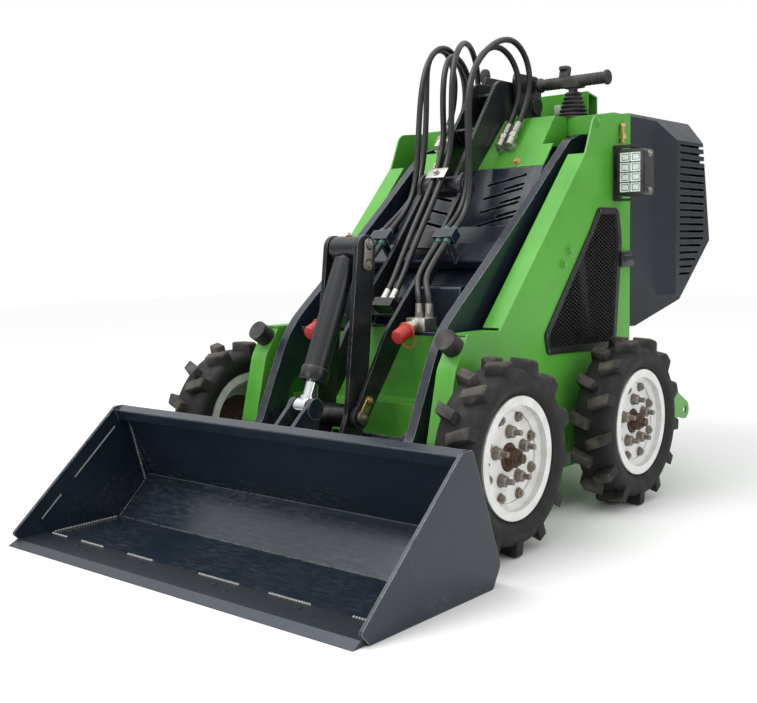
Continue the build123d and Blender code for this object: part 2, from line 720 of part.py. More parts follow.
def hydraulic_ports():
    """Bulkhead fittings on the light panel for the arm and bucket hoses."""
    run = (HOOD_TOP[0] - HOOD_MID[0], HOOD_TOP[1] - HOOD_MID[1])
    up = toward((0, 0), run, 1)
    body = None
    for y, height in PORTS:
        base = toward(HOOD_MID, HOOD_TOP, height)
        face = Plane(origin=(base[0], y, base[1]), x_dir=(0, 1, 0), z_dir=(up[1], 0, -up[0]))
        nut = face * extrude(RegularPolygon(15, 6), 16)
        neck = face * extrude(Circle(9), 30)
        rise = Plane(
            origin=(base[0] + 22 * up[1], y, base[1] - 22 * up[0]), z_dir=(up[0], 0, up[1])
        )
        stem = rise * (Pos(0, 0, -8) * extrude(RegularPolygon(13, 6), PORT_STEM))
        port = nut + neck + stem
        body = port if body is None else body + port
    x, y = DECK_PORT
    deck_port = Pos(x, y, DECK_Z + SEAT_GAP) * extrude(RegularPolygon(15, 6), 16)
    deck_port += Pos(x, y, DECK_Z + 10) * extrude(RegularPolygon(13, 6), 50)
    return body + deck_port


# Lift arms: two curved plates joined by cross members
CLAMP_Y = [98, 124]
HOSE_HOLE = 10.5
ARM_TOP = [(104, 265), (-10, 505), (-225, 675), (-405, 822), (-555, 950)]


def arm_outline():
    heel_x, heel_z = BUCKET_PIVOT
    tip_x, tip_z = ARM_PIVOT
    end = BUCKET_BOSS
    points = [
        *ARM_TOP, (-630, 1012), (tip_x, tip_z + ARM_BOSS), (tip_x - 40, tip_z),
        (-657, 820), (-327, 545), (-70, 402), (0, 345), (14, 240), (62, 110),
        (heel_x - 40, heel_z - end), (heel_x + end, heel_z - end), (heel_x + end, heel_z + end),
    ]
    rounds = [90, 330, 200, 200, 0, 60, 20, 20, 60, 400, 160, 50, 60, 30, 30, end - 1, 40]
    face = outline(points, rounds)
    face += Pos(*ARM_PIVOT) * Circle(ARM_BOSS)
    face += bar(LIFT_EYE, (-640, 850), 26, 46)
    face -= Pos(*ARM_PIVOT) * Circle(ARM_PIN_RADIUS + RUNNING_GAP)
    face -= Pos(*BUCKET_PIVOT) * Circle(BUCKET_PIN_RADIUS + RUNNING_GAP)
    return face


def lift_arms():
    arm = slab(arm_outline(), ARM_INNER, ARM_OUTER)
    inside = ARM_INNER + 1
    direction = toward((0, 0), (-180, 147), 1)
    half = 41
    top_a = (MID_BEAM[0] - direction[0] * half, MID_BEAM[1] - direction[1] * half)
    top_b = (MID_BEAM[0] + direction[0] * half, MID_BEAM[1] + direction[1] * half)
    mid_beam = plate(strip([top_a, top_b], -MID_BEAM_DEPTH), -inside, inside, 6)
    foot, head = LOWER_PLATE
    rise = math.dist(foot, head)
    up = toward((0, 0), (head[0] - foot[0], head[1] - foot[1]), 1)
    lower = Plane(origin=(foot[0], 0, foot[1]), x_dir=(0, 1, 0), z_dir=(up[1], 0, -up[0]))
    dip = make_face(
        FilletPolyline(
            (-inside, 20), (inside, 20), (inside, rise), (inside - 34, rise),
            (inside - 66, rise - 40), (66 - inside, rise - 40), (34 - inside, rise),
            (-inside, rise), radius=[0, 0, 0, 8, 30, 30, 8, 0], close=True,
        ).edges()
    )
    lower_plate = lower * extrude(dip, 12)
    shelf = Pos(COUPLER_AT[0], (ARM_INNER + COUPLER_Y) / 2 - 15, COUPLER_AT[1]) * Box(
        56, ARM_INNER - COUPLER_Y + 32, 10
    )
    post = plate([(-258, 742), (-242, 728), (-286, 668), (-306, 686)], 107.5, 114.5)
    clamp = Plane(origin=(-248, 111, 744), x_dir=(0, 1, 0), z_dir=(0.747, 0, -0.665)) * Box(62, 29, 34)
    for y in CLAMP_Y:
        clamp -= Plane(origin=(-248, y, 744.6), z_dir=(0.747, 0, -0.665)) * Cylinder(HOSE_HOLE, 80)
    return both_sides(arm + shelf + clamp + post) + mid_beam + lower_plate


def aux_couplers():
    """Quick couplers with rubber caps, on a block on the arms' front bar."""
    x, z = COUPLER_AT
    block = Pos(x, COUPLER_Y, z + 5 + 17) * Box(52, 60, 34)
    place = Plane(origin=(x + 22, COUPLER_Y, z + 25), z_dir=(0.93, 0, -0.37))
    barrel = place * extrude(Circle(13), 34)
    cap = place * (Pos(0, 0, 33) * extrude(Circle(19), 52))
    return both_sides(block + barrel + cap)


def lift_barrel():
    reach = math.dist(LIFT_BASE, LIFT_EYE)
    eye = disc(LIFT_BASE, 24, ARM_INNER, ARM_OUTER)
    eye -= disc(LIFT_BASE, LIFT_PIN_RADIUS + RUNNING_GAP, ARM_INNER - 1, ARM_OUTER + 1)
    tube = along(LIFT_BASE, LIFT_EYE, LIFT_BARREL_RADIUS, 32, reach - LIFT_HEAD)
    tube -= along(LIFT_BASE, LIFT_EYE, LIFT_ROD_RADIUS + RUNNING_GAP, 44, reach)
    neck = along(LIFT_BASE, LIFT_EYE, 12, 15, 40)
    hollow = disc(LIFT_BASE, LIFT_PIN_RADIUS + RUNNING_GAP, ARM_INNER - 1, ARM_OUTER + 1)
    return eye + Pos(0, LIFT_Y, 0) * (tube + neck) - hollow


def lift_rod():
    reach = math.dist(LIFT_BASE, LIFT_EYE)
    rod = along(LIFT_BASE, LIFT_EYE, LIFT_ROD_RADIUS, 60, reach - LIFT_FORK - 8)
    block = along(LIFT_BASE, LIFT_EYE, 19, reach - LIFT_FORK - 16, reach - LIFT_FORK)
    fork = slab(
        bar(LIFT_EYE, toward(LIFT_EYE, LIFT_BASE, LIFT_FORK), 18, 15), ARM_INNER - 8, ARM_OUTER + 8
    )
    fork -= slab(
        bar(LIFT_EYE, toward(LIFT_EYE, LIFT_BASE, LIFT_FORK - 24), 24, 18),
        ARM_INNER - 1, ARM_OUTER + 1,
    )
    return Pos(0, LIFT_Y, 0) * (rod + block) + fork


# Level link: fork below the cross tube, twin blades above it
def level_link():
    low_x, low_z = LINK_PIN
    fork = plate(
        [(low_x + 26, low_z + 4), (-40, 505), (-223, 690), (-392, 890), (-428, 858),
         (-262, 655), (-100, 468), (low_x - 26, low_z - 8)],
        LINK_INNER, LINK_INNER + LINK_PLATE, [10, 90, 0, 10, 10, 0, 60, 10],
    )
    fork += disc(LINK_PIN, 30, LINK_INNER, LINK_INNER + LINK_PLATE)
    fork += disc(LINK_TUBE, LINK_TUBE_RADIUS + 8, LINK_INNER, LINK_INNER + LINK_PLATE)
    fork -= disc(LINK_PIN, LINK_PIN_RADIUS + RUNNING_GAP, LINK_INNER - 1, LINK_INNER + 20)
    pivot_x, pivot_z = LINK_PIVOT
    blade = plate(
        [(-384, 905), (-600, 1196), (pivot_x, 1200), (pivot_x - 40, pivot_z + 10),
         (pivot_x - 20, pivot_z - 38), (-664, 1110), (-426, 862)],
        BLADE_INNER, BLADE_INNER + BLADE_PLATE, [20, 50, 60, 30, 20, 60, 20],
    )
    blade += disc(LINK_PIVOT, 40, BLADE_INNER, BLADE_INNER + BLADE_PLATE)
    blade -= disc(LINK_PIVOT, LINK_PIN_RADIUS + RUNNING_GAP, BLADE_INNER - 1, BLADE_INNER + 12)
    tube_end = LINK_INNER + LINK_PLATE + 4
    body = both_sides(fork + blade) + disc(LINK_TUBE, LINK_TUBE_RADIUS, -tube_end, tube_end)
    for x, z in LINK_TIES:
        tie = Pos(x, 0, z) * Rot(0, LINK_TIE_TURN, 0) * Box(8, 2 * LINK_INNER + 2, 60)
        body += tie
    x, z = LINK_TIES[0]
    block = Pos(LINK_HOSE_OUT - 6, 0, -13) * Box(2 * LINK_HOSE_OUT - 8, 62, 26)
    body += Pos(x, 0, z) * Rot(0, LINK_TIE_TURN, 0) * block
    for x, z in BLADE_TIES:
        body += Pos(x, 0, z) * Rot(0, 45, 0) * Box(8, 2 * BLADE_INNER + 2, 60)
    return body


def lever():
    """Upright plates on the bucket pivot that carry the tilt cylinder."""
    upper = bar(TILT_BASE, LINK_PIN, 34, 36)
    lower = bar(LINK_PIN, BUCKET_PIVOT, 36, 40)
    face = upper + lower
    cheek = slab(face, LEVER_INNER, LEVER_INNER + LEVER_PLATE)
    cheek -= disc(TILT_BASE, TILT_PIN_RADIUS + RUNNING_GAP, LEVER_INNER - 1, LEVER_INNER + 20)
    body = both_sides(cheek)
    boss = LEVER_INNER + LEVER_PLATE
    body += disc(LINK_PIN, 30, -boss, boss)
    body += disc(LINK_PIN, LINK_PIN_RADIUS, -LINK_INNER - LINK_PLATE - 6, LINK_INNER + LINK_PLATE + 6)
    pin_end = ARM_OUTER + 8
    body += disc(BUCKET_PIVOT, 34, -EAR_INNER + 5, EAR_INNER - 5)
    body += disc(BUCKET_PIVOT, BUCKET_PIN_RADIUS, -pin_end, pin_end)
    return body


def tilt_barrel():
    reach = math.dist(TILT_BASE, TILT_EYE)
    tube = along(TILT_BASE, TILT_EYE, TILT_BARREL_RADIUS, 34, reach - TILT_HEAD)
    neck = along(TILT_BASE, TILT_EYE, 20, 0, 40)
    eye = disc(TILT_BASE, 32, -LEVER_INNER + 5, LEVER_INNER - 5)
    pin = disc(TILT_BASE, TILT_PIN_RADIUS, -LEVER_INNER - LEVER_PLATE - 4, LEVER_INNER + LEVER_PLATE + 4)
    body = tube + neck + eye + pin
    return body - along(TILT_BASE, TILT_EYE, TILT_ROD_RADIUS + RUNNING_GAP, 60, reach)


def tilt_rod():
    reach = math.dist(TILT_BASE, TILT_EYE)
    rod = along(TILT_BASE, TILT_EYE, TILT_ROD_RADIUS, TILT_ROD_TAIL, reach - 10)
    collar = along(TILT_BASE, TILT_EYE, TILT_ROD_RADIUS + 5, reach - TILT_COLLAR, reach - 15)
    eye = disc(TILT_EYE, 25, -TILT_EYE_HALF, TILT_EYE_HALF)
    return rod + collar + eye


# Bucket
LIP = (FRONT_REACH, 0)
BUCKET_TOP = (309, 307)
HEEL_HIGH = (203, 48)
HEEL_LOW = (232, 0)


def bucket():
    """Bent shell with side plates and a folded top rail."""
    half = BUCKET_WIDTH / 2
    shell = plate(
        strip([(LIP[0] - EDGE_DEPTH, 0), HEEL_LOW, HEEL_HIGH, BUCKET_TOP], BUCKET_SHEET),
        -half + BUCKET_SIDE - 1, half - BUCKET_SIDE + 1, 0,
    )
    side = plate(
        [(LIP[0] - 40, 0), (LIP[0] - 14, 26), (BUCKET_TOP[0] + 26, BUCKET_TOP[1]),
         (BUCKET_TOP[0] - 8, BUCKET_TOP[1]), HEEL_HIGH, HEEL_LOW],
        half - BUCKET_SIDE, half, [0, 8, 14, 8, 20, 10],
    )
    rail_low = toward(BUCKET_TOP, HEEL_HIGH, 32)
    rail = plate(
        [(BUCKET_TOP[0] + 1, BUCKET_TOP[1]), (rail_low[0] + 1, rail_low[1]),
         (rail_low[0] + 30, rail_low[1] - 8), (BUCKET_TOP[0] + 28, BUCKET_TOP[1] - 10)],
        -half + BUCKET_SIDE - 1, half - BUCKET_SIDE + 1, [0, 0, 3, 3],
    )
    fold_start = (HEEL_LOW[0] + 100, BUCKET_SHEET / 2)
    fold_end = (HEEL_HIGH[0] + 24, HEEL_HIGH[1] + 55)
    fold = plate(strip([fold_start, fold_end], BUCKET_SHEET), -half + BUCKET_SIDE - 1,
                 half - BUCKET_SIDE + 1)
    return shell + both_sides(side) + rail + fold


def bucket_edge():
    """Bolt-on cutting edge under the lip."""
    half = BUCKET_WIDTH / 2
    edge = plate(
        [(LIP[0], 0), (LIP[0] - EDGE_DEPTH, 0), (LIP[0] - EDGE_DEPTH, EDGE_PLATE),
         (LIP[0] - 24, EDGE_PLATE)],
        -half + BUCKET_SIDE, half - BUCKET_SIDE,
    )
    return edge


def bucket_hitch():
    """Ears on the back of the bucket for the pivot and the tilt rod."""
    back = HEEL_HIGH, BUCKET_TOP
    low = toward(*back, 20)
    high = toward(*back, 245)
    pad = plate(strip([low, high], -10), -EAR_INNER - 60, EAR_INNER + 60)
    ear = plate(
        [(low[0] + 2, low[1] + 6), (BUCKET_PIVOT[0] + 6, BUCKET_PIVOT[1] - 34),
         (BUCKET_PIVOT[0] - 34, BUCKET_PIVOT[1]), (BUCKET_PIVOT[0] + 6, BUCKET_PIVOT[1] + 40),
         (high[0] - 20, high[1] - 40)],
        EAR_INNER, EAR_INNER + EAR_PLATE, [0, 30, 30, 30, 0],
    )
    ear += disc(BUCKET_PIVOT, 34, EAR_INNER, EAR_INNER + EAR_PLATE)
    ear -= disc(BUCKET_PIVOT, BUCKET_PIN_RADIUS + RUNNING_GAP, EAR_INNER - 1, EAR_INNER + 30)
    tilt_ear = plate(
        [(high[0] - 62, high[1] - 120), (TILT_EYE[0] - 24, TILT_EYE[1] - 6),
         (TILT_EYE[0] + 8, TILT_EYE[1] + 26), (high[0] - 2, high[1] - 4)],
        TILT_EYE_HALF + 5, TILT_EYE_HALF + 15, [0, 22, 22, 0],
    )
    tilt_ear += disc(TILT_EYE, 26, TILT_EYE_HALF + 5, TILT_EYE_HALF + 19)
    return pad + both_sides(ear + tilt_ear)


# Hoses, as (x, y, z) points along the middle of each
HOSE_RADIUS = 8.5
HOSE_EXIT = 45
CLAMP_RUN = [(-272, 766), (-218, 718), (-172, 676), (-138, 636)]
DROP = [(-112, 606), (-98, 578), (-98, COUPLER_AT[1] + 39)]


def port_exit(y, height):
    """Free end of a port's stem on the light panel and the next point on its line."""
    up = toward((0, 0), (HOOD_TOP[0] - HOOD_MID[0], HOOD_TOP[1] - HOOD_MID[1]), 1)
    base = toward(HOOD_MID, HOOD_TOP, height)
    spots = []
    for reach in (PORT_STEM - 8, PORT_STEM - 8 + HOSE_EXIT):
        x = base[0] + 22 * up[1] + reach * up[0]
        spots.append((x, y, base[1] - 22 * up[0] + reach * up[1]))
    return spots


def arm_run(y_clamp, y_end):
    """Last stretch of a hose, through its clamp on the arms and down to a coupler."""
    held = [(x, y_clamp, z) for x, z in CLAMP_RUN]
    spread = [0.6, 1, 1]
    return held + [(x, y_clamp + (y_end - y_clamp) * part, z) for (x, z), part in zip(DROP, spread)]


def link_run(y):
    """Last stretch of a hose, down the level link to the block on its front tie."""
    x, z = LINK_TIES[0]
    lean = math.radians(-LINK_TIE_TURN)
    ends = []
    for back in (62, 0):
        ends.append((
            x + LINK_HOSE_OUT * math.cos(lean) - back * math.sin(lean), y,
            z + LINK_HOSE_OUT * math.sin(lean) + back * math.cos(lean),
        ))
    return [(-388, y, 950), (-354, y, 890), (-312, y, 830), (-264, y, 764), (-214, y, 690), *ends]


HOSES = {
    "hose_left_outer": [
        *port_exit(*PORTS[1]), (-680, 98, 1158), (-684, 101, 1220),
        (-651, 102, 1273), (-594, 104, 1300), (-531, 106, 1294), (-470, 108, 1268),
        (-414, 110, 1229), (-370, 113, 1178), (-346, 116, 1116), (-341, 118, 1049),
        (-342, 120, 950), (-342, 123, 868), (-318, 124, 806), *arm_run(124, 165),
    ],
    "hose_left_inner": [
        *port_exit(*PORTS[0]), (-667, 73, 1150), (-664, 75, 1206),
        (-632, 76, 1251), (-580, 78, 1277), (-524, 80, 1278), (-470, 83, 1254),
        (-424, 87, 1212), (-392, 92, 1158), (-378, 96, 1096), (-374, 98, 1020),
        (-370, 98, 930), (-358, 98, 858), (-326, 98, 806), *arm_run(98, 134),
    ],
    "hose_right_inner": [
        *port_exit(*PORTS[3]), (-684, -130, 1172), (-672, -128, 1228),
        (-638, -125, 1274), (-592, -121, 1304), (-536, -118, 1302), (-488, -116, 1268),
        (-452, -113, 1212), (-432, -111, 1140), (-418, -108, 1056), (-404, -104, 960),
        (-382, -99, 876), (-334, -98, 812), *arm_run(-98, -134),
    ],
    "hose_right_outer": [
        *port_exit(*PORTS[4]), (-678, -166, 1176), (-674, -162, 1242),
        (-627, -155, 1304), (-557, -148, 1304), (-510, -144, 1255), (-502, -142, 1180),
        (-496, -140, 1096), (-484, -138, 1010), (-462, -134, 930), (-414, -129, 862),
        (-346, -124, 812), *arm_run(-124, -165),
    ],
    "hose_link_upper": [
        (*DECK_PORT, DECK_Z + 60), (*DECK_PORT, DECK_Z + 60 + HOSE_EXIT), (-682, -83, 1242),
        (-650, -72, 1282), (-600, -52, 1304), (-540, -30, 1306), (-484, -10, 1282),
        (-442, 4, 1238), (-420, 11, 1180), (-412, 14, 1116), (-410, 14, 1060),
        (-406, 14, 1004), *link_run(14),
    ],
    "hose_link_lower": [
        *port_exit(*PORTS[2]), (-656, -86, 1136), (-642, -78, 1184),
        (-606, -66, 1222), (-560, -53, 1250), (-508, -40, 1264), (-458, -27, 1250),
        (-424, -18, 1208), (-410, -14, 1150), (-409, -14, 1086), (-412, -14, 1020),
        *link_run(-14),
    ],
}


def hose(points):
    """Round tube along straight runs joined by arcs as large as the runs allow."""
    spots = [Vector(*point) for point in points]
    radii = []
    for before, here, after in zip(spots, spots[1:], spots[2:]):
        first, second = here - before, after - here
        turn = math.radians(first.get_angle(second))
        radii.append(0.45 * min(first.length, second.length) / math.tan(turn / 2))
    path = FilletPolyline(*spots, radius=radii)
    start = Plane(origin=spots[0], z_dir=spots[1] - spots[0])
    tube = sweep(start * Circle(HOSE_RADIUS), path=path)
    share = tube.volume / (math.pi * HOSE_RADIUS**2 * path.length)
    print(f"length {path.length:.0f}, volume share {share:.4f}, radii {[round(r) for r in radii]}")
    return tube


# columns: node name, function that draws it
PIECES = [
    ("drive_motors", drive_motors),
    ("chassis_tub", chassis_tub),
    ("hood_lower", hood_lower),
    ("hood_slotted", hood_slotted),
    ("hood_upper", hood_upper),
    ("dash_panel", dash_panel),
    ("rear_cover", rear_cover),
    ("engine_block", engine_block),
    ("rear_step", rear_step),
    ("link_bracket", link_bracket),
    ("drive_handle", drive_handle),
    ("joystick", joystick),
    ("grab_bar", grab_bar),
    ("work_lamps", work_lamps),
    ("bump_stops", bump_stops),
    ("hydraulic_ports", hydraulic_ports),
    ("lift_arms", lift_arms),
    ("aux_couplers", aux_couplers),
    ("level_link", level_link),
    ("lever", lever),
    ("tilt_barrel", tilt_barrel),
    ("tilt_rod", tilt_rod),
    ("bucket", bucket),
    ("bucket_edge", bucket_edge),
    ("bucket_hitch", bucket_hitch),
]
# columns: node name before the side, function that draws the left one
PAIRS = [
    ("tower", tower),
    ("grille", grille),
    ("lift_barrel", lift_barrel),
    ("lift_rod", lift_rod),
]
for piece_name, draw in PIECES:
    write(piece_name, draw())
for hose_name, route in HOSES.items():
    print(hose_name)
    write(hose_name, hose(route))
for piece_name, draw in PAIRS:
    left = draw()
    write(f"{piece_name}_left", left)
    write(f"{piece_name}_right", mirror(left, Plane.XZ))
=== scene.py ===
"""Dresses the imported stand-on skid steer loader and sets it on a pale studio floor.

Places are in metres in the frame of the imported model. Many are written as
millimetres from the front axle and turned into that frame by at().
"""
import json
import math

import bmesh
import bpy
from bpy.props import FloatProperty, FloatVectorProperty, IntProperty, PointerProperty
from mathutils import Matrix, Vector


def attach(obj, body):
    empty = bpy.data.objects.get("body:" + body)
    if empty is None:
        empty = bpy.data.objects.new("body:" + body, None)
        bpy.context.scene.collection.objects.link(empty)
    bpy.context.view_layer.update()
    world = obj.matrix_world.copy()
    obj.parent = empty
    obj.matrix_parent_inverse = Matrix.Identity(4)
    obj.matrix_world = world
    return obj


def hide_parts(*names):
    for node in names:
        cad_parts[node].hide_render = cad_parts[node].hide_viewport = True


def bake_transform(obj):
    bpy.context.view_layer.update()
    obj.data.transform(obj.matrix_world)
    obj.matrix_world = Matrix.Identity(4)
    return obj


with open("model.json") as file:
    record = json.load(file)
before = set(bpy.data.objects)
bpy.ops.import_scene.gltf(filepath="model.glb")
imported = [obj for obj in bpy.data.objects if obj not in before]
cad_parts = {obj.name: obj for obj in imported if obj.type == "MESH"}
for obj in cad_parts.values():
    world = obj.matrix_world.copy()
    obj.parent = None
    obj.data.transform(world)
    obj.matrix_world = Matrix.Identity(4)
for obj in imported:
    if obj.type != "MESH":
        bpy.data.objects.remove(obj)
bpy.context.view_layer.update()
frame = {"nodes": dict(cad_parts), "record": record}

bl_info = {
    "name": "Skid steer loader",
    "version": (1, 0, 0),
    "blender": (4, 5, 0),
    "location": "3D View > Sidebar > Loader",
    "description": "Materials, hoses, tyres, screens and controls of a stand-on loader",
    "category": "Object",
}

NODES = frame["nodes"]
SIDES = {"left": 1, "right": -1}
UP = Vector((0, 0, 1))
# in mm, from the front axle and from the floor
ORIGIN_BEHIND = 331
WHEELBASE = 621
AXLE_RISE = 230
WHEEL_OUT = 445.5
TOWER_OUT = 345
# columns: corner, x of the axle in mm, way out
WHEELS = [
    (f"{end}_{side}", x, way)
    for end, x in (("front", 0), ("rear", -WHEELBASE))
    for side, way in SIDES.items()
]
# outer face of a wheel's disc, in m from the wheel's middle plane
DISC_FACE = 0.019
# nodes whose finish isn't the one of their slot
OWN_FINISH = {"bucket": "bucket", "rear_cover": "cover_paint", "chassis_tub": "tub"}


def at(x, y, z):
    """A point of the frame from millimetres measured off the front axle."""
    return Vector(((x + ORIGIN_BEHIND) / 1000, y / 1000, z / 1000))


class LoaderSizes(bpy.types.PropertyGroup):
    """Sizes of the dressed pieces."""

    hose_radius: FloatProperty(
        name="Hose radius", description="Outer radius of each hydraulic hose",
        default=0.0085, min=0.004, max=0.02, unit="LENGTH",
    )
    lug_count: IntProperty(
        name="Lugs", description="Lugs in each of a tyre's two rows", default=13, min=8, max=20,
    )
    lug_round: FloatProperty(
        name="Lug rounding", description="Worn rounding along the edges of a lug",
        default=0.0028, min=0.0005, max=0.006, unit="LENGTH",
    )
    screen_width: FloatProperty(
        name="Screen diamond", description="Width of a diamond in the side screens",
        default=0.022, min=0.012, max=0.05, unit="LENGTH",
    )
    screen_strand: FloatProperty(
        name="Screen strand", description="Thickness of a strand of the side screens",
        default=0.0034, min=0.001, max=0.006, unit="LENGTH",
    )
    edge_round: FloatProperty(
        name="Edge rounding", description="Rounding that the paint shows along sheet edges",
        default=0.0016, min=0.0002, max=0.005, unit="LENGTH",
    )


class LoaderColours(bpy.types.PropertyGroup):
    """Base colours, as linear light."""

    green: FloatVectorProperty(
        name="Green paint", description="Paint of the towers, deck and front wall",
        subtype="COLOR", default=(0.085, 0.37, 0.035), min=0, max=1,
    )
    dark: FloatVectorProperty(
        name="Dark paint", description="Blue-black paint of the arms, hood and bucket",
        subtype="COLOR", default=(0.0085, 0.0145, 0.025), min=0, max=1,
    )
    rim: FloatVectorProperty(
        name="Rim paint", description="Off-white paint of the wheel rims",
        subtype="COLOR", default=(0.72, 0.73, 0.71), min=0, max=1,
    )
    rubber: FloatVectorProperty(
        name="Rubber", description="Clean rubber of tyres, hoses and grips",
        subtype="COLOR", default=(0.010, 0.010, 0.011), min=0, max=1,
    )
    dust: FloatVectorProperty(
        name="Dust", description="Dry soil that clings to tyres and low metal",
        subtype="COLOR", default=(0.24, 0.21, 0.18), min=0, max=1,
    )
    cap: FloatVectorProperty(
        name="Red caps", description="Rubber dust caps of the quick couplers",
        subtype="COLOR", default=(0.42, 0.022, 0.018), min=0, max=1,
    )


def sizes():
    return bpy.context.scene.loader_sizes


def colours():
    return bpy.context.scene.loader_colours


# Material nodes
def value_or_link(tree, socket, value):
    if isinstance(value, bpy.types.NodeSocket):
        tree.links.new(value, socket)
    elif isinstance(value, (tuple, list)) and len(value) == 3:
        socket.default_value = (*value, 1)
    else:
        socket.default_value = value


def blend_colour(tree, factor, first, second):
    """Mixes two colours. A Mix node holds its colour sockets behind those for numbers."""
    node = tree.nodes.new("ShaderNodeMix")
    node.data_type = "RGBA"
    for socket, value in ((0, factor), (6, first), (7, second)):
        value_or_link(tree, node.inputs[socket], value)
    return node.outputs[2]


def maths(tree, kind, first, second):
    node = tree.nodes.new("ShaderNodeMath")
    node.operation = kind
    node.use_clamp = True
    value_or_link(tree, node.inputs[0], first)
    value_or_link(tree, node.inputs[1], second)
    return node.outputs[0]


def product(tree, first, second):
    return maths(tree, "MULTIPLY", first, second)


def laid_over(tree, base, colour, mask, share):
    """Lays a share of a colour over a base where the mask is white."""
    return blend_colour(tree, product(tree, mask, share), base, colour)


def place(tree, stretch=(1, 1, 1)):
    coordinates = tree.nodes.new("ShaderNodeTexCoord")
    mapping = tree.nodes.new("ShaderNodeMapping")
    mapping.inputs["Scale"].default_value = stretch
    tree.links.new(coordinates.outputs["Object"], mapping.inputs["Vector"])
    return mapping.outputs["Vector"]


def noise(tree, scale, detail, stretch=(1, 1, 1), low=0.0, high=1.0):
    texture = tree.nodes.new("ShaderNodeTexNoise")
    texture.inputs["Scale"].default_value = scale
    texture.inputs["Detail"].default_value = detail
    texture.inputs["Roughness"].default_value = 0.55
    tree.links.new(place(tree, stretch), texture.inputs["Vector"])
    return spread(tree, texture.outputs[0], low, high)


def spread(tree, source, low, high, to_low=0.0, to_high=1.0):
    """Stretches a grey range, clamped at both ends."""
    node = tree.nodes.new("ShaderNodeMapRange")
    limits = {"From Min": low, "From Max": high, "To Min": to_low, "To Max": to_high}
    for name, limit in limits.items():
        node.inputs[name].default_value = limit
    tree.links.new(source, node.inputs["Value"])
    return node.outputs["Result"]


def rounded_normal(tree, radius):
    node = tree.nodes.new("ShaderNodeBevel")
    node.samples = 4
    node.inputs["Radius"].default_value = radius
    return node.outputs["Normal"]


def edge_mask(tree, radius):
    """White along sharp edges, where the rounded normal leaves the true one."""
    geometry = tree.nodes.new("ShaderNodeNewGeometry")
    facing = tree.nodes.new("ShaderNodeVectorMath")
    facing.operation = "DOT_PRODUCT"
    tree.links.new(rounded_normal(tree, radius), facing.inputs[0])
    tree.links.new(geometry.outputs["True Normal"], facing.inputs[1])
    return spread(tree, maths(tree, "SUBTRACT", 1.0, facing.outputs["Value"]), 0.02, 0.22)


def coordinate(tree, axis):
    split = tree.nodes.new("ShaderNodeSeparateXYZ")
    tree.links.new(place(tree), split.inputs[0])
    return split.outputs[axis]


def height(tree, low, high, to_low=1.0, to_high=0.0):
    return spread(tree, coordinate(tree, "Z"), low, high, to_low, to_high)


def fresh(name):
    material = bpy.data.materials.new(name)
    material.use_nodes = True
    tree = material.node_tree
    shader = tree.nodes["Principled BSDF"]
    return material, tree, shader


def finish_surface(tree, shader, colour, rough, bump=None, strength=0.1, depth=0.001, round_edges=0.0):
    value_or_link(tree, shader.inputs["Base Color"], colour)
    value_or_link(tree, shader.inputs["Roughness"], rough)
    normal = rounded_normal(tree, round_edges) if round_edges else None
    if bump is not None:
        node = tree.nodes.new("ShaderNodeBump")
        node.inputs["Strength"].default_value = strength
        node.inputs["Distance"].default_value = depth
        tree.links.new(bump, node.inputs["Height"])
        if normal is not None:
            tree.links.new(normal, node.inputs["Normal"])
        normal = node.outputs["Normal"]
    if normal is not None:
        tree.links.new(normal, shader.inputs["Normal"])


def darker(colour, share):
    return tuple(channel * share for channel in colour)


def painted_shade_room(tree):
    """White in the room between the towers, above the wheels, where painted shade is laid on the tub.
    """
    half_width, floor, front = 0.3406, 0.4, -0.03
    across = coordinate(tree, "Y")
    within = maths(tree, "LESS_THAN", product(tree, across, across), half_width ** 2)
    above = maths(tree, "GREATER_THAN", coordinate(tree, "Z"), floor)
    behind = maths(tree, "LESS_THAN", coordinate(tree, "X"), front)
    return product(tree, product(tree, within, above), behind)


def sheet_paint(name, colour, rough, worn, edge_wear_and_highlight=0.6, grime=0.3, low_dust=0.5, painted_inner_shade=False):
    """Sprayed steel with faint cloudiness, light edges that are partly chipped paint and partly
    painted highlight, dust low down and, if asked, painted shade inside the tub.
    """
    material, tree, shader = fresh(name)
    cloud = noise(tree, 7, 5, low=0.35, high=0.7)
    base = blend_colour(tree, cloud, colour, darker(colour, 0.8))
    if painted_inner_shade:
        # painted shade: near-black laid on the tub's inside where the towers' openings show it
        base = blend_colour(tree, painted_shade_room(tree), base, (0.006, 0.006, 0.007))
    speck = noise(tree, 90, 6, low=0.62, high=0.72)
    base = laid_over(tree, base, darker(colour, 0.5), speck, grime * 0.5)
    dirt = product(tree, noise(tree, 16, 8, low=0.42, high=0.75), height(tree, 0.08, 0.5))
    base = laid_over(tree, base, tuple(colours().dust), dirt, low_dust)
    # pale sharp edges: partly chipped paint, partly painted highlight
    chips = product(tree, edge_mask(tree, 0.003), noise(tree, 38, 6, low=0.3, high=0.6))
    base = laid_over(tree, base, worn, chips, edge_wear_and_highlight)
    shine = spread(tree, noise(tree, 22, 6), 0.2, 0.8, rough - 0.07, rough + 0.1)
    shader.inputs["Specular IOR Level"].default_value = 0.45
    grain = noise(tree, 260, 2)
    finish_surface(tree, shader, base, shine, grain, 0.05, 0.0006, sizes().edge_round)
    return material


def bare_metal(name, colour, rough, rusting):
    """Plated or cast metal with fine streaks and small spots of rust."""
    material, tree, shader = fresh(name)
    streak = noise(tree, 14, 6, stretch=(4, 60, 60), low=0.3, high=0.75)
    base = blend_colour(tree, streak, colour, darker(colour, 0.62))
    spots = noise(tree, 34, 8, low=0.52, high=0.72)
    base = laid_over(tree, base, (0.16, 0.06, 0.025), spots, rusting)
    shader.inputs["Metallic"].default_value = 0.9
    shine = spread(tree, streak, 0, 1, rough - 0.06, rough + 0.14)
    finish_surface(tree, shader, base, shine, streak, 0.12, 0.0004, 0.0008)
    return material


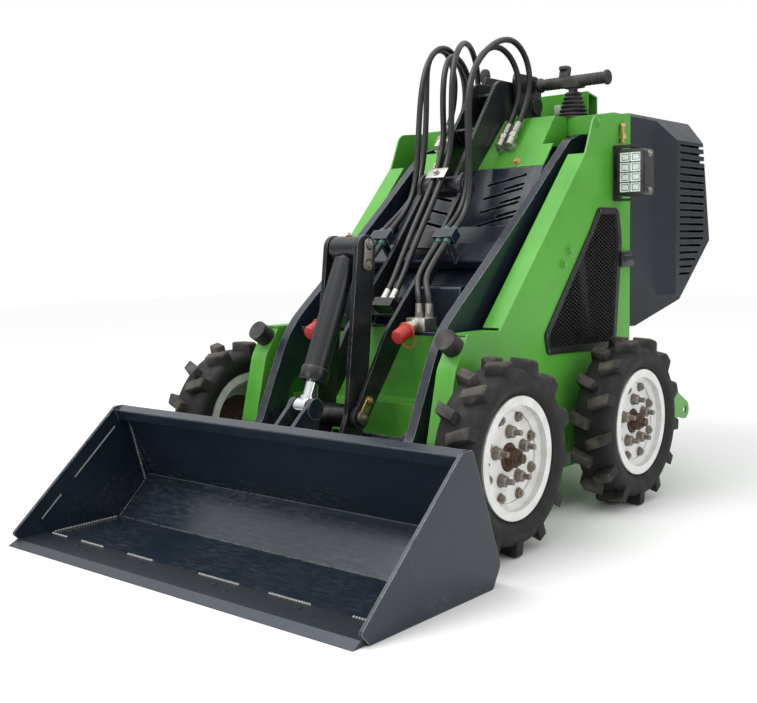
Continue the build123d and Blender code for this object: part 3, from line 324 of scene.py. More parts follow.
def rubber(name, colour, rough=0.62, dusting=0.25, grain=320):
    """Moulded rubber or plastic under a little dust."""
    material, tree, shader = fresh(name)
    cloud = noise(tree, 30, 6, low=0.4, high=0.8)
    base = laid_over(tree, colour, tuple(colours().dust), cloud, dusting)
    shine = spread(tree, noise(tree, 45, 4), 0.2, 0.8, rough - 0.08, rough + 0.12)
    finish_surface(tree, shader, base, shine, noise(tree, grain, 3), 0.15, 0.0005)
    return material


def tyre_rubber():
    """Black rubber whose lug tops carry pale dry soil."""
    material, tree, shader = fresh("tyre_rubber_dusty")
    tread = tree.nodes.new("ShaderNodeAttribute")
    tread.attribute_name = "tread"
    cloud = noise(tree, 26, 8, low=0.32, high=0.72)
    fine = noise(tree, 150, 6, low=0.35, high=0.75)
    soil = product(tree, product(tree, tread.outputs["Fac"], cloud), 0.45)
    soil = maths(tree, "ADD", soil, product(tree, fine, 0.03))
    base = blend_colour(tree, soil, tuple(colours().rubber), tuple(colours().dust))
    shine = spread(tree, cloud, 0, 1, 0.52, 0.85)
    shader.inputs["Specular IOR Level"].default_value = 0.3
    finish_surface(tree, shader, base, shine, fine, 0.25, 0.001)
    return material


def rim_paint():
    """Off-white rim enamel with brown water marks and rusty chips."""
    material, tree, shader = fresh("rim_enamel")
    grime = noise(tree, 24, 8, low=0.45, high=0.8)
    base = laid_over(tree, tuple(colours().rim), (0.34, 0.27, 0.2), grime, 0.45)
    chips = product(tree, edge_mask(tree, 0.002), noise(tree, 80, 5, low=0.4, high=0.6))
    base = laid_over(tree, base, (0.2, 0.11, 0.06), chips, 0.55)
    finish_surface(tree, shader, base, 0.42, noise(tree, 240, 2), 0.05, 0.0005, 0.0012)
    return material


def rusty_hub():
    material, tree, shader = fresh("hub_rust")
    patch = noise(tree, 40, 8, low=0.35, high=0.7)
    base = blend_colour(tree, patch, (0.11, 0.062, 0.038), (0.05, 0.032, 0.023))
    flake = noise(tree, 120, 6, low=0.55, high=0.7)
    base = laid_over(tree, base, (0.24, 0.17, 0.12), flake, 0.5)
    shader.inputs["Metallic"].default_value = 0.25
    finish_surface(tree, shader, base, 0.72, flake, 0.4, 0.001, 0.001)
    return material


def bucket_steel():
    """Dark paint worn to scratched grey steel on the bucket's inside and lip."""
    material, tree, shader = fresh("bucket_worn")
    streak = noise(tree, 9, 9, stretch=(14, 3, 14), low=0.4, high=0.7)
    patches = noise(tree, 4.5, 7, low=0.34, high=0.62)
    low_down = height(tree, 0.02, 0.24, 1.0, 0.25)
    worn = product(tree, product(tree, streak, low_down), patches)
    base = laid_over(tree, (0.0105, 0.0175, 0.0285), (0.08, 0.09, 0.1), worn, 0.4)
    chips = product(tree, edge_mask(tree, 0.003), noise(tree, 40, 6, low=0.3, high=0.55))
    base = laid_over(tree, base, (0.44, 0.44, 0.43), chips, 0.85)
    shader.inputs["Metallic"].default_value = 0.2
    shine = spread(tree, worn, 0, 1, 0.22, 0.36)
    finish_surface(tree, shader, base, shine, streak, 0.1, 0.0006, 0.002)
    return material


def chrome():
    material, tree, shader = fresh("rod_chrome")
    film = noise(tree, 30, 5, low=0.4, high=0.8)
    base = laid_over(tree, (0.62, 0.63, 0.65), (0.36, 0.36, 0.37), film, 0.3)
    shader.inputs["Metallic"].default_value = 1.0
    finish_surface(tree, shader, base, spread(tree, film, 0, 1, 0.09, 0.22))
    return material


def clear_lens():
    material, tree, shader = fresh("lamp_cells")
    ripple = noise(tree, 200, 2)
    base = blend_colour(tree, ripple, (0.88, 0.9, 0.92), (0.7, 0.72, 0.75))
    shader.inputs["Metallic"].default_value = 0.2
    finish_surface(tree, shader, base, 0.16, ripple, 0.1, 0.0005)
    return material


def make_materials():
    """The finishes by the name of the record's slot, with a few of their own."""
    green, dark = tuple(colours().green), tuple(colours().dark)
    # edge colours below are partly chipped paint and partly painted highlight
    chipped_and_highlit_green, chipped_and_highlit_black = (0.5, 0.62, 0.42), (0.36, 0.37, 0.38)
    return {
        "green_paint": sheet_paint("apple_green_enamel", green, 0.33, chipped_and_highlit_green, 0.45, 0.25, 0.3),
        # the tub's green enamel, with painted shade inside the towers
        "tub": sheet_paint("tub_enamel_and_painted_shade", green, 0.33, chipped_and_highlit_green, 0.45, 0.25, 0.3, True),
        # the pale edges of the blue-black paint are partly wear and partly painted highlight
        "dark_paint": sheet_paint("blue_black_enamel", dark, 0.27, (0.5, 0.52, 0.53), 0.95, 0.2, 0.35),
        "cover_paint": sheet_paint(
            "cover_enamel", darker(dark, 0.9), 0.4, (0.3, 0.31, 0.32), 0.4, 0.2, 0.4,
        ),
        "black_steel": sheet_paint("black_enamel", (0.009, 0.0105, 0.013), 0.28, chipped_and_highlit_black, 0.7),
        "bucket": bucket_steel(),
        "white_paint": rim_paint(),
        "rusty_iron": rusty_hub(),
        "chrome_rod": chrome(),
        "lens": clear_lens(),
        "zinc": bare_metal("zinc_fittings", (0.5, 0.49, 0.44), 0.34, 0.08),
        "worn_steel": bare_metal("cutting_edge_steel", (0.075, 0.085, 0.1), 0.36, 0.06),
        "engine_iron": bare_metal("engine_iron", (0.1, 0.1, 0.1), 0.5, 0.4),
        "dull_nut": bare_metal("wheel_nut_zinc", (0.34, 0.31, 0.27), 0.5, 0.55),
        "brass": bare_metal("yellow_passivate", (0.66, 0.48, 0.2), 0.32, 0.05),
        "weld": bare_metal("weld_metal", (0.3, 0.3, 0.3), 0.45, 0.25),
        "tyre_rubber": tyre_rubber(),
        "black_rubber": rubber("moulded_rubber", tuple(colours().rubber)),
        "lamp_plastic": rubber("lamp_case_plastic", (0.02, 0.02, 0.021), 0.4, 0.12),
        "hose": rubber("hose_rubber", (0.008, 0.008, 0.009), 0.36, 0.05, 500),
        "red_cap": rubber("cap_red_rubber", tuple(colours().cap), 0.5, 0.1),
        "orange": rubber("strap_orange", (0.62, 0.12, 0.02), 0.5, 0.1),
        "teal": rubber("sleeve_teal", (0.03, 0.10, 0.085), 0.5, 0.1),
        "screen_black": rubber("screen_enamel", (0.006, 0.006, 0.007), 0.4, 0.02),
        # near-black for the sheets of painted shade behind the rear cover's louvres
        "matt_black": rubber("matt_black_painted_shade", (0.005, 0.005, 0.005), 0.8, 0.03),
    }


# filled by main() with the materials
FINISH = {}


# Shapes
def turned_to(direction):
    """Turn that lays the z axis along a direction."""
    return Vector(direction).normalized().to_track_quat("Z", "Y").to_matrix().to_4x4()


def rod(bm, start, end, radius, sides, end_radius=None):
    """Round or sided rod between two points, tapered where it has an end radius."""
    middle = Matrix.Translation((start + end) / 2) @ turned_to(end - start)
    bmesh.ops.create_cone(
        bm, cap_ends=True, segments=sides, radius1=radius,
        radius2=radius if end_radius is None else end_radius,
        depth=(end - start).length, matrix=middle,
    )


def block(bm, centre, size, turn=Matrix(), round_by=0.0):
    """Box about a centre, with its edges rounded if that is asked for."""
    laid = Matrix.Translation(centre) @ turn @ Matrix.Diagonal((*size, 1))
    verts = bmesh.ops.create_cube(bm, size=1, matrix=laid)["verts"]
    if round_by:
        edges = {edge for vert in verts for edge in vert.link_edges}
        soften(bm, list(edges), round_by)
    return verts


def soften(bm, edges, width, segments=2):
    bmesh.ops.bevel(
        bm, geom=edges, offset=width, segments=segments, profile=0.5, affect="EDGES", material=-1,
    )


def stack(bm, base, along, rows):
    """Rods on one axis. Columns: from, to, radius, sides and, if it tapers, end radius."""
    for low, high, radius, sides, *end_radius in rows:
        rod(bm, base + along * low, base + along * high, radius, sides, *end_radius)


def bolt(bm, base, direction, radius=0.009, head=0.007, washer=True):
    """Hexagon head on a washer, standing on a surface point."""
    base, direction = Vector(base), Vector(direction).normalized()
    thin = 0.002
    low = base - direction * thin
    if washer:
        rod(bm, low, base + direction * thin, radius * 1.5, 24)
        base = base + direction * thin
    rod(bm, low, base + direction * head, radius, 6)
    rod(bm, base + direction * (head - 0.001), base + direction * (head + 0.001), radius * 0.72, 16)


def lathe(bm, profile, centre, axis, steps, closed=False):
    """Turns a profile of (radius, height) once about an axis."""
    turn = Matrix.Translation(centre) @ turned_to(axis)
    verts = [bm.verts.new(turn @ Vector((radius, 0, rise))) for radius, rise in profile]
    edges = [bm.edges.new(pair) for pair in zip(verts, verts[1:] + (verts[:1] if closed else []))]
    bmesh.ops.spin(
        bm, geom=verts + edges, cent=Vector(centre), axis=Vector(axis).normalized(),
        angle=2 * math.pi, steps=steps, use_merge=True,
    )


def ring(bm, centre, axis, radius, thick):
    """Round cord bent into a ring."""
    turns = [2 * math.pi * index / 10 for index in range(10)]
    section = [(radius + thick * math.cos(turn), thick * math.sin(turn)) for turn in turns]
    lathe(bm, section, centre, axis, 40, closed=True)


def piece(name, bm, finish, body, angle=35):
    """Makes an object from a bmesh, shades it and lets it ride on a body."""
    bmesh.ops.remove_doubles(bm, verts=bm.verts, dist=1e-6)
    bmesh.ops.recalc_face_normals(bm, faces=bm.faces)
    mesh = bpy.data.meshes.new(name)
    bm.to_mesh(mesh)
    bm.free()
    mesh.shade_smooth()
    mesh.set_sharp_from_angle(angle=math.radians(angle))
    mesh.materials.append(FINISH[finish])
    made = bpy.data.objects.new(name, mesh)
    bpy.context.scene.collection.objects.link(made)
    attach(made, body)
    return made


# Hoses: the same points as their solids, in mm from the front axle
HOOD_MID = Vector((-552, 0, 938))
HOOD_TOP = Vector((-676, 0, 1088))
PANEL_UP = (HOOD_TOP - HOOD_MID).normalized()
PANEL_OUT = Vector((PANEL_UP.z, 0, -PANEL_UP.x))
PORT_OUT = 22
STEM = 66
EXIT_RUN = 45
LINK_CLAMP = (-388, 950)
ARM_CLAMP = (-272, 766)
CLAMP_RUN = [ARM_CLAMP, (-218, 718), (-172, 676), (-138, 636)]
DROP = [(-112, 606, 0.6), (-98, 578, 1), (-98, 539, 1)]
LINK_TIE = (-150, 560)
LINK_LEAN = math.radians(41)
# columns: y, distance up the light panel
PORTS = {"left_inner": (62, 72), "left_outer": (93, 76), "link_lower": (-90, 62),
         "right_inner": (-132, 104), "right_outer": (-170, 90)}
DECK_PORT = (-690, -88)


def port_exit(name):
    """Free end of a port's stem and the next point on its line."""
    y, rise = PORTS[name]
    base = HOOD_MID + PANEL_UP * rise + PANEL_OUT * PORT_OUT + Vector((0, y, 0))
    return [tuple(base + PANEL_UP * reach) for reach in (STEM, STEM + EXIT_RUN)]


def arm_run(y_clamp, y_end):
    """Through the arms' clamp, then drifting sideways down to the coupler."""
    held = [(x, y_clamp, z) for x, z in CLAMP_RUN]
    return held + [(x, y_clamp + (y_end - y_clamp) * part, z) for x, z, part in DROP]


def link_run(y):
    """From the link's clamp down its front to the tie, which it meets square on."""
    x, z = LINK_TIE
    cos, sin = math.cos(LINK_LEAN), math.sin(LINK_LEAN)
    ends = [(x + 25 * cos - back * sin, y, z + 25 * sin + back * cos) for back in (62, 0)]
    middle = [LINK_CLAMP, (-354, 890), (-312, 830), (-264, 764), (-214, 690)]
    return [(x, y, z) for x, z in middle] + ends


ROUTES = {
    "left_outer": [
        *port_exit("left_outer"), (-680, 98, 1158), (-684, 101, 1220),
        (-651, 102, 1273), (-594, 104, 1300), (-531, 106, 1294), (-470, 108, 1268),
        (-414, 110, 1229), (-370, 113, 1178), (-346, 116, 1116), (-341, 118, 1049),
        (-342, 120, 950), (-342, 123, 868), (-318, 124, 806), *arm_run(124, 165),
    ],
    "left_inner": [
        *port_exit("left_inner"), (-667, 73, 1150), (-664, 75, 1206),
        (-632, 76, 1251), (-580, 78, 1277), (-524, 80, 1278), (-470, 83, 1254),
        (-424, 87, 1212), (-392, 92, 1158), (-378, 96, 1096), (-374, 98, 1020),
        (-370, 98, 930), (-358, 98, 858), (-326, 98, 806), *arm_run(98, 134),
    ],
    "right_inner": [
        *port_exit("right_inner"), (-684, -130, 1172), (-672, -128, 1228),
        (-638, -125, 1274), (-592, -121, 1304), (-536, -118, 1302), (-488, -116, 1268),
        (-452, -113, 1212), (-432, -111, 1140), (-418, -108, 1056), (-404, -104, 960),
        (-382, -99, 876), (-334, -98, 812), *arm_run(-98, -134),
    ],
    "right_outer": [
        *port_exit("right_outer"), (-678, -166, 1176), (-674, -162, 1242),
        (-627, -155, 1304), (-557, -148, 1304), (-510, -144, 1255), (-502, -142, 1180),
        (-496, -140, 1096), (-484, -138, 1010), (-462, -134, 930), (-414, -129, 862),
        (-346, -124, 812), *arm_run(-124, -165),
    ],
    "link_upper": [
        (*DECK_PORT, 1148), (*DECK_PORT, 1193), (-682, -83, 1242),
        (-650, -72, 1282), (-600, -52, 1304), (-540, -30, 1306), (-484, -10, 1282),
        (-442, 4, 1238), (-420, 11, 1180), (-412, 14, 1116), (-410, 14, 1060),
        (-406, 14, 1004), *link_run(14),
    ],
    "link_lower": [
        *port_exit("link_lower"), (-656, -86, 1136), (-642, -78, 1184),
        (-606, -66, 1222), (-560, -53, 1250), (-508, -40, 1264), (-458, -27, 1250),
        (-424, -18, 1208), (-410, -14, 1150), (-409, -14, 1086), (-412, -14, 1020),
        *link_run(-14),
    ],
}


def smooth_line(name, points, radius=0.0):
    """NURBS curve through the route's control points, as mesh data."""
    curve = bpy.data.curves.new(name, "CURVE")
    curve.dimensions = "3D"
    curve.resolution_u = 10
    curve.bevel_depth = radius
    curve.bevel_resolution = 5
    curve.use_fill_caps = radius > 0
    spline = curve.splines.new("NURBS")
    spline.points.add(len(points) - 1)
    for target, spot in zip(spline.points, points):
        target.co = (*at(*spot), 1)
    spline.order_u = 3
    spline.use_endpoint_u = True
    carrier = bpy.data.objects.new(name, curve)
    mesh = bpy.data.meshes.new_from_object(carrier)
    bpy.data.objects.remove(carrier)
    return mesh


# the camera, solved from the photograph, in m
CAMERA_AT = (2.3485, 1.7791, 0.7089)
CAMERA_FORWARD = Vector((-0.760918, -0.641815, -0.095276))
CAMERA_RIGHT = Vector((-0.643291, 0.765401, -0.018415))
CAMERA_LENS = 50.05


class LOADER_OT_camera(bpy.types.Operator):
    """Puts the camera where the photograph was taken from"""

    bl_idname = "loader.camera"
    bl_label = "Camera"

    def execute(self, context):
        data = bpy.data.cameras.new("photo_camera")
        data.sensor_width = 36
        data.lens = CAMERA_LENS
        data.clip_end = 60
        camera = bpy.data.objects.new("photo_camera", data)
        context.scene.collection.objects.link(camera)
        axes = (CAMERA_RIGHT, CAMERA_RIGHT.cross(CAMERA_FORWARD), -CAMERA_FORWARD)
        turn = Matrix(axes).transposed().to_4x4()
        camera.matrix_world = Matrix.Translation(CAMERA_AT) @ turn
        context.scene.camera = camera
        return {"FINISHED"}


class LOADER_OT_hoses(bpy.types.Operator):
    """Hangs the six hydraulic hoses between the ports, the arms and the link"""

    bl_idname = "loader.hoses"
    bl_label = "Hoses"

    def execute(self, context):
        radius = sizes().hose_radius
        for name, route in ROUTES.items():
            mesh = smooth_line(f"hose_{name}_run", route, radius)
            mesh.materials.append(FINISH["hose"])
            mesh.shade_smooth()
            hose = bpy.data.objects.new(f"hose_{name}_run", mesh)
            context.scene.collection.objects.link(hose)
            line = [tuple(vert.co) for vert in smooth_line("line", route).vertices]
            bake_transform(hose)
            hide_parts(f"hose_{name}")
        return {"FINISHED"}


class LOADER_OT_finishes(bpy.types.Operator):
    """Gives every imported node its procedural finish"""

    bl_idname = "loader.finishes"
    bl_label = "Finishes"

    def execute(self, context):
        slots = {row["node"]: row["material_slot"] for row in frame["record"]["subparts"]}
        for name, node in NODES.items():
            node.data.materials.clear()
            node.data.materials.append(FINISH[OWN_FINISH.get(name, slots[name])])
        return {"FINISHED"}


# half of the carcass's section, from the bead outwards; columns: radius, reach sideways, in m
CARCASS = [
    (0.128, 0.0405), (0.147, 0.0405), (0.151, 0.0435), (0.153, 0.0475), (0.157, 0.0478),
    (0.161, 0.0520), (0.170, 0.0558), (0.180, 0.0568), (0.190, 0.0552), (0.198, 0.0505),
    (0.2035, 0.0430), (0.2055, 0.0300), (0.2065, 0.0),
]
# a lug in m: corners of its foot, the foot's distance from the axle, its height, the top's width
LUG_PLAN = [(-0.0265, 0.056), (0.0045, 0.056), (0.0245, 0.002), (-0.0025, -0.005)]
LUG_ROOT = 0.189
LUG_HEIGHT = 0.041
LUG_TAPER = 0.93
# dustiness of the carcass, of a lug's flanks and of its top
DUSTY = (0.05, 0.12, 1.0)


class LOADER_OT_tyres(bpy.types.Operator):
    """Dresses the wheels in lugged tyres with a rounded carcass"""

    bl_idname = "loader.tyres"
    bl_label = "Tyres"

    def execute(self, context):
        for corner, axle_x, way in WHEELS:
            self.tyre(corner, at(axle_x, WHEEL_OUT * way, AXLE_RISE), way)
        return {"FINISHED"}

    def tyre(self, corner, centre, way):
        bm = bmesh.new()
        tread = bm.verts.layers.float.new("tread")
        outline = CARCASS + [(radius, -side) for radius, side in CARCASS[-2::-1]]
        verts = [bm.verts.new((0, side, radius)) for radius, side in outline]
        edges = [bm.edges.new(pair) for pair in zip(verts, verts[1:] + verts[:1])]
        bmesh.ops.spin(
            bm, geom=verts + edges, cent=(0, 0, 0), axis=(0, 1, 0), angle=2 * math.pi,
            steps=104, use_merge=True,
        )
        for vert in bm.verts:
            vert[tread] = DUSTY[0]
        lug = self.lug()
        count = sizes().lug_count
        for index in range(count):
            for row, mirrored in ((0, 1), (0.5, -1)):
                turn = Matrix.Rotation(math.pi + 2 * math.pi * (index + row) / count, 4, "Y")
                self.add_lug(bm, tread, lug, turn @ Matrix.Diagonal((1, mirrored, 1, 1)))
        lug.free()
        place_at = Matrix.Translation(centre) @ Matrix.Diagonal((1, way, 1, 1))
        bmesh.ops.transform(bm, matrix=place_at, verts=bm.verts)
        made = piece(f"tread_{corner}", bm, "tyre_rubber", f"wheel_{corner}", 40)
        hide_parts(f"tyre_{corner}")

    def lug(self):
        """One slanted lug standing on the carcass, with worn edges."""
        bm = bmesh.new()
        face = bm.faces.new([bm.verts.new((x, y, LUG_ROOT)) for x, y in LUG_PLAN])
        grown = bmesh.ops.extrude_face_region(bm, geom=[face])["geom"]
        top = [part for part in grown if isinstance(part, bmesh.types.BMVert)]
        bmesh.ops.translate(bm, verts=top, vec=(0, 0, LUG_HEIGHT))
        middle = sum(vert.co.x for vert in top) / 4
        outer, halfway = 0.05, LUG_ROOT + LUG_HEIGHT / 2
        for vert in top:
            vert.co.x = middle + (vert.co.x - middle) * LUG_TAPER
            if vert.co.y > outer:
                vert.co.y -= 0.003
        shoulder = [
            edge for edge in bm.edges
            if all(vert.co.z > halfway and vert.co.y > outer for vert in edge.verts)
        ]
        soften(bm, shoulder, 0.009, 3)
        upper = [edge for edge in bm.edges if any(vert.co.z > halfway for vert in edge.verts)]
        soften(bm, upper, sizes().lug_round)
        bmesh.ops.recalc_face_normals(bm, faces=bm.faces)
        return bm

    def add_lug(self, bm, tread, lug, turn):
        copies = {}
        worn = LUG_ROOT + LUG_HEIGHT - 0.006
        for vert in lug.verts:
            new = bm.verts.new(turn @ vert.co)
            new[tread] = DUSTY[2] if vert.co.z > worn else DUSTY[1]
            copies[vert] = new
        for face in lug.faces:
            bm.faces.new([copies[vert] for vert in face.verts])


# rods of the wheel's fasteners, from its disc outwards; columns as in stack()
WHEEL_NUT = [
    (0, 0.0025, 0.0165, 28), (0.002, 0.016, 0.0140, 6), (0.0155, 0.0185, 0.0115, 20, 0.008),
    (0.017, 0.0352, 0.0068, 18),
]
RIM_BOLT = [(0, 0.0018, 0.0135, 24), (0.001, 0.0095, 0.0108, 6), (0.009, 0.0135, 0.0052, 14)]
HUB_NUT = [(0.004, 0.022, 0.0235, 6), (0.021, 0.030, 0.0185, 24, 0.016)]
NUT_CIRCLE = 0.06
RIM_BOLT_CIRCLE = 0.098


class LOADER_OT_wheel_parts(bpy.types.Operator):
    """Adds wheel nuts, a valve and a hub nut to each wheel"""

    bl_idname = "loader.wheel_parts"
    bl_label = "Wheel nuts and valves"

    def execute(self, context):
        for corner, axle_x, way in WHEELS:
            wheel = f"wheel_{corner}"
            centre = at(axle_x, WHEEL_OUT * way, AXLE_RISE)
            out = Vector((0, way, 0))
            disc = centre + out * DISC_FACE
            nuts = bmesh.new()
            for index in range(5):
                stack(nuts, disc + self.clock(index / 5, NUT_CIRCLE), out, WHEEL_NUT)
            piece(f"wheel_nuts_{corner}", nuts, "dull_nut", wheel)
            hub_nut = bmesh.new()
            stack(hub_nut, disc, out, HUB_NUT)
            piece(f"hub_nut_{corner}", hub_nut, "rusty_iron", wheel)
            rim_bolts = bmesh.new()
            for index in range(8):
                stack(rim_bolts, disc + self.clock((index + 0.5) / 8, RIM_BOLT_CIRCLE), out, RIM_BOLT)
            piece(f"rim_bolts_{corner}", rim_bolts, "dull_nut", wheel)
            valve = bmesh.new()
            foot = centre + Vector((0.104, 0.012 * way, 0.001))
            rod(valve, foot, foot + Vector((0.010, 0.022 * way, 0.003)), 0.0045, 16, 0.0035)
            rod(valve, foot + Vector((0.010, 0.021 * way, 0.003)),
                foot + Vector((0.014, 0.030 * way, 0.004)), 0.0042, 12)
            piece(f"valve_{corner}", valve, "black_rubber", wheel)
        return {"FINISHED"}

    def clock(self, share, radius):
        """A place on a circle round the axle, as a share of a turn from the top."""
        turn = 2 * math.pi * share
        return Vector((radius * math.sin(turn), 0, radius * math.cos(turn)))


# outlines of a screen's frame; columns: x, z, corner radius, in mm from the front axle
SCREEN_OUTER = [(-642, 818, 24), (-760, 818, 26), (-780, 730, 34), (-744, 418, 22),
                (-366, 428, 18), (-352, 482, 20), (-594, 754, 46)]
SCREEN_INNER = [(-656, 800, 8), (-744, 800, 8), (-758, 730, 8), (-728, 438, 8), (-378, 446, 8),
                (-374, 478, 8), (-604, 738, 8)]
SCREEN_MIDDLE = (-566, 618)
SCREEN_CELLS = 64


def rounded(outline, steps=6):
    """Corner points of an outline (x, z, radius), each drawn as a short arc."""
    points = []
    for index, (x, z, radius) in enumerate(outline):
        here = Vector((x, z))
        before = (Vector(outline[index - 1][:2]) - here).normalized()
        after = (Vector(outline[(index + 1) % len(outline)][:2]) - here).normalized()
        half = before.angle(after) / 2
        reach = radius / math.tan(half)
        start, end = here + before * reach, here + after * reach
        centre = here + (before + after).normalized() * radius / math.sin(half)
        for step in range(steps + 1):
            spot = start.lerp(end, step / steps) - centre
            points.append(centre + spot.normalized() * radius)
    return points


def sheet_between(name, outlines, y, thick):
    """Flat sheet in the xz plane; the first outline is its edge, the others are holes."""
    curve = bpy.data.curves.new(name, "CURVE")
    curve.dimensions = "2D"
    curve.fill_mode = "BOTH"
    curve.extrude = thick / 2
    for outline in outlines:
        spline = curve.splines.new("POLY")
        spline.points.add(len(outline) - 1)
        for target, spot in zip(spline.points, outline):
            target.co = (spot.x / 1000, spot.y / 1000, 0, 1)
        spline.use_cyclic_u = True
    carrier = bpy.data.objects.new(name, curve)
    mesh = bpy.data.meshes.new_from_object(carrier)
    bpy.data.objects.remove(carrier)
    bm = bmesh.new()
    bm.from_mesh(mesh)
    turn = Matrix.Translation(at(0, y, 0)) @ Matrix.Rotation(math.pi / 2, 4, "X")
    bmesh.ops.transform(bm, matrix=turn, verts=bm.verts)
    return bm


def inside(x, z, outline):
    """Whether a point lies in a polygon, by counting crossings."""
    hit = False
    for (ax, az), (bx, bz) in zip(outline, outline[1:] + outline[:1]):
        if (az > z) != (bz > z) and x < ax + (z - az) * (bx - ax) / (bz - az):
            hit = not hit
    return hit


class LOADER_OT_screens(bpy.types.Operator):
    """Stretches fine expanded mesh over the openings in the towers"""

    bl_idname = "loader.screens"
    bl_label = "Side screens"

    def execute(self, context):
        for side, way in SIDES.items():
            self.edging(side, way)
            self.strands(side, way)
        return {"FINISHED"}

    def edging(self, side, way):
        outlines = [rounded(SCREEN_OUTER), rounded(SCREEN_INNER)]
        bm = sheet_between("screen_frame", outlines, (TOWER_OUT + 2.1) * way, 0.0038)
        made = piece(f"screen_frame_{side}", bm, "screen_black", "chassis")
        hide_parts(f"grille_{side}")

    def strands(self, side, way):
        bm = bmesh.new()
        bmesh.ops.create_grid(bm, x_segments=SCREEN_CELLS, y_segments=SCREEN_CELLS, size=0.5)
        wide = sizes().screen_width * SCREEN_CELLS / math.sqrt(2)
        stretch = Matrix.Diagonal((wide, wide / 2, 1, 1))
        lay = Matrix.Rotation(math.pi / 2, 4, "X") @ stretch @ Matrix.Rotation(math.pi / 4, 4, "Z")
        x, z = SCREEN_MIDDLE
        middle = Matrix.Translation(at(x, (TOWER_OUT + 2.2) * way, z))
        bmesh.ops.transform(bm, matrix=middle @ lay, verts=bm.verts)
        border = [tuple(spot) for spot in rounded(SCREEN_INNER)]
        outside = []
        for face in bm.faces:
            corners = [(v.co.x * 1000 - ORIGIN_BEHIND, v.co.z * 1000) for v in face.verts]
            if not any(inside(*corner, border) for corner in corners):
                outside.append(face)
        bmesh.ops.delete(bm, geom=outside, context="FACES")
        made = piece(f"screen_mesh_{side}", bm, "screen_black", "chassis")
        wires = made.modifiers.new("strands", "WIREFRAME")
        wires.thickness = sizes().screen_strand
        wires.use_even_offset = False


# middle of a lamp, in mm: across and up
LAMP_OUT = 404
LAMP_RISE = 915


class LOADER_OT_lamps(bpy.types.Operator):
    """Fits each lamp with four rows of two light cells"""

    bl_idname = "loader.lamps"
    bl_label = "Lamp cells"

    def execute(self, context):
        for side, way in SIDES.items():
            cells = bmesh.new()
            for row in range(4):
                for column in range(2):
                    y = LAMP_OUT + (column - 0.5) * 32
                    self.cell(cells, at(-721.4, y * way, LAMP_RISE + (row - 1.5) * 28))
            piece(f"lamp_cells_{side}", cells, "lens", "chassis")
            bezel = bmesh.new()
            block(bezel, at(-723, LAMP_OUT * way, LAMP_RISE), (0.006, 0.078, 0.124), round_by=0.002)
            for row in range(7):
                rib = at(-785, LAMP_OUT * way, LAMP_RISE + (row - 3) * 16)
                block(bezel, rib, (0.014, 0.076, 0.005), round_by=0.001)
            piece(f"lamp_bezel_{side}", bezel, "lamp_plastic", "chassis")
            screws = bmesh.new()
            for off in (-50, 50):
                bolt(screws, at(-753, 446 * way, LAMP_RISE + off), (0, way, 0), 0.006, 0.004)
            piece(f"lamp_screws_{side}", screws, "zinc", "chassis")
        return {"FINISHED"}

    def cell(self, bm, centre):
        """A square bowl with a raised bead in its middle."""
        verts = block(bm, centre, (0.006, 0.029, 0.025))
        faces = {face for vert in verts for face in vert.link_faces}
        front = [face for face in faces if face.normal.x > 0.9]
        bmesh.ops.inset_region(bm, faces=front, thickness=0.0012)
        bmesh.ops.inset_region(bm, faces=front, thickness=0.0055, depth=-0.0022)
        bmesh.ops.inset_region(bm, faces=front, thickness=0.0022, depth=0.0018)


# in mm, from the front axle and the floor
DECK_TOP = 1088.3
HANDLE = (-786, 186)
SIDE_LEVER = (-765, -112)
# radii of the drive handle's rubber grip, in m: between its ribs, at a rib, at its ends
GRIP_TUBE, GRIP_RIB, GRIP_END = 0.0165, 0.0176, 0.0215


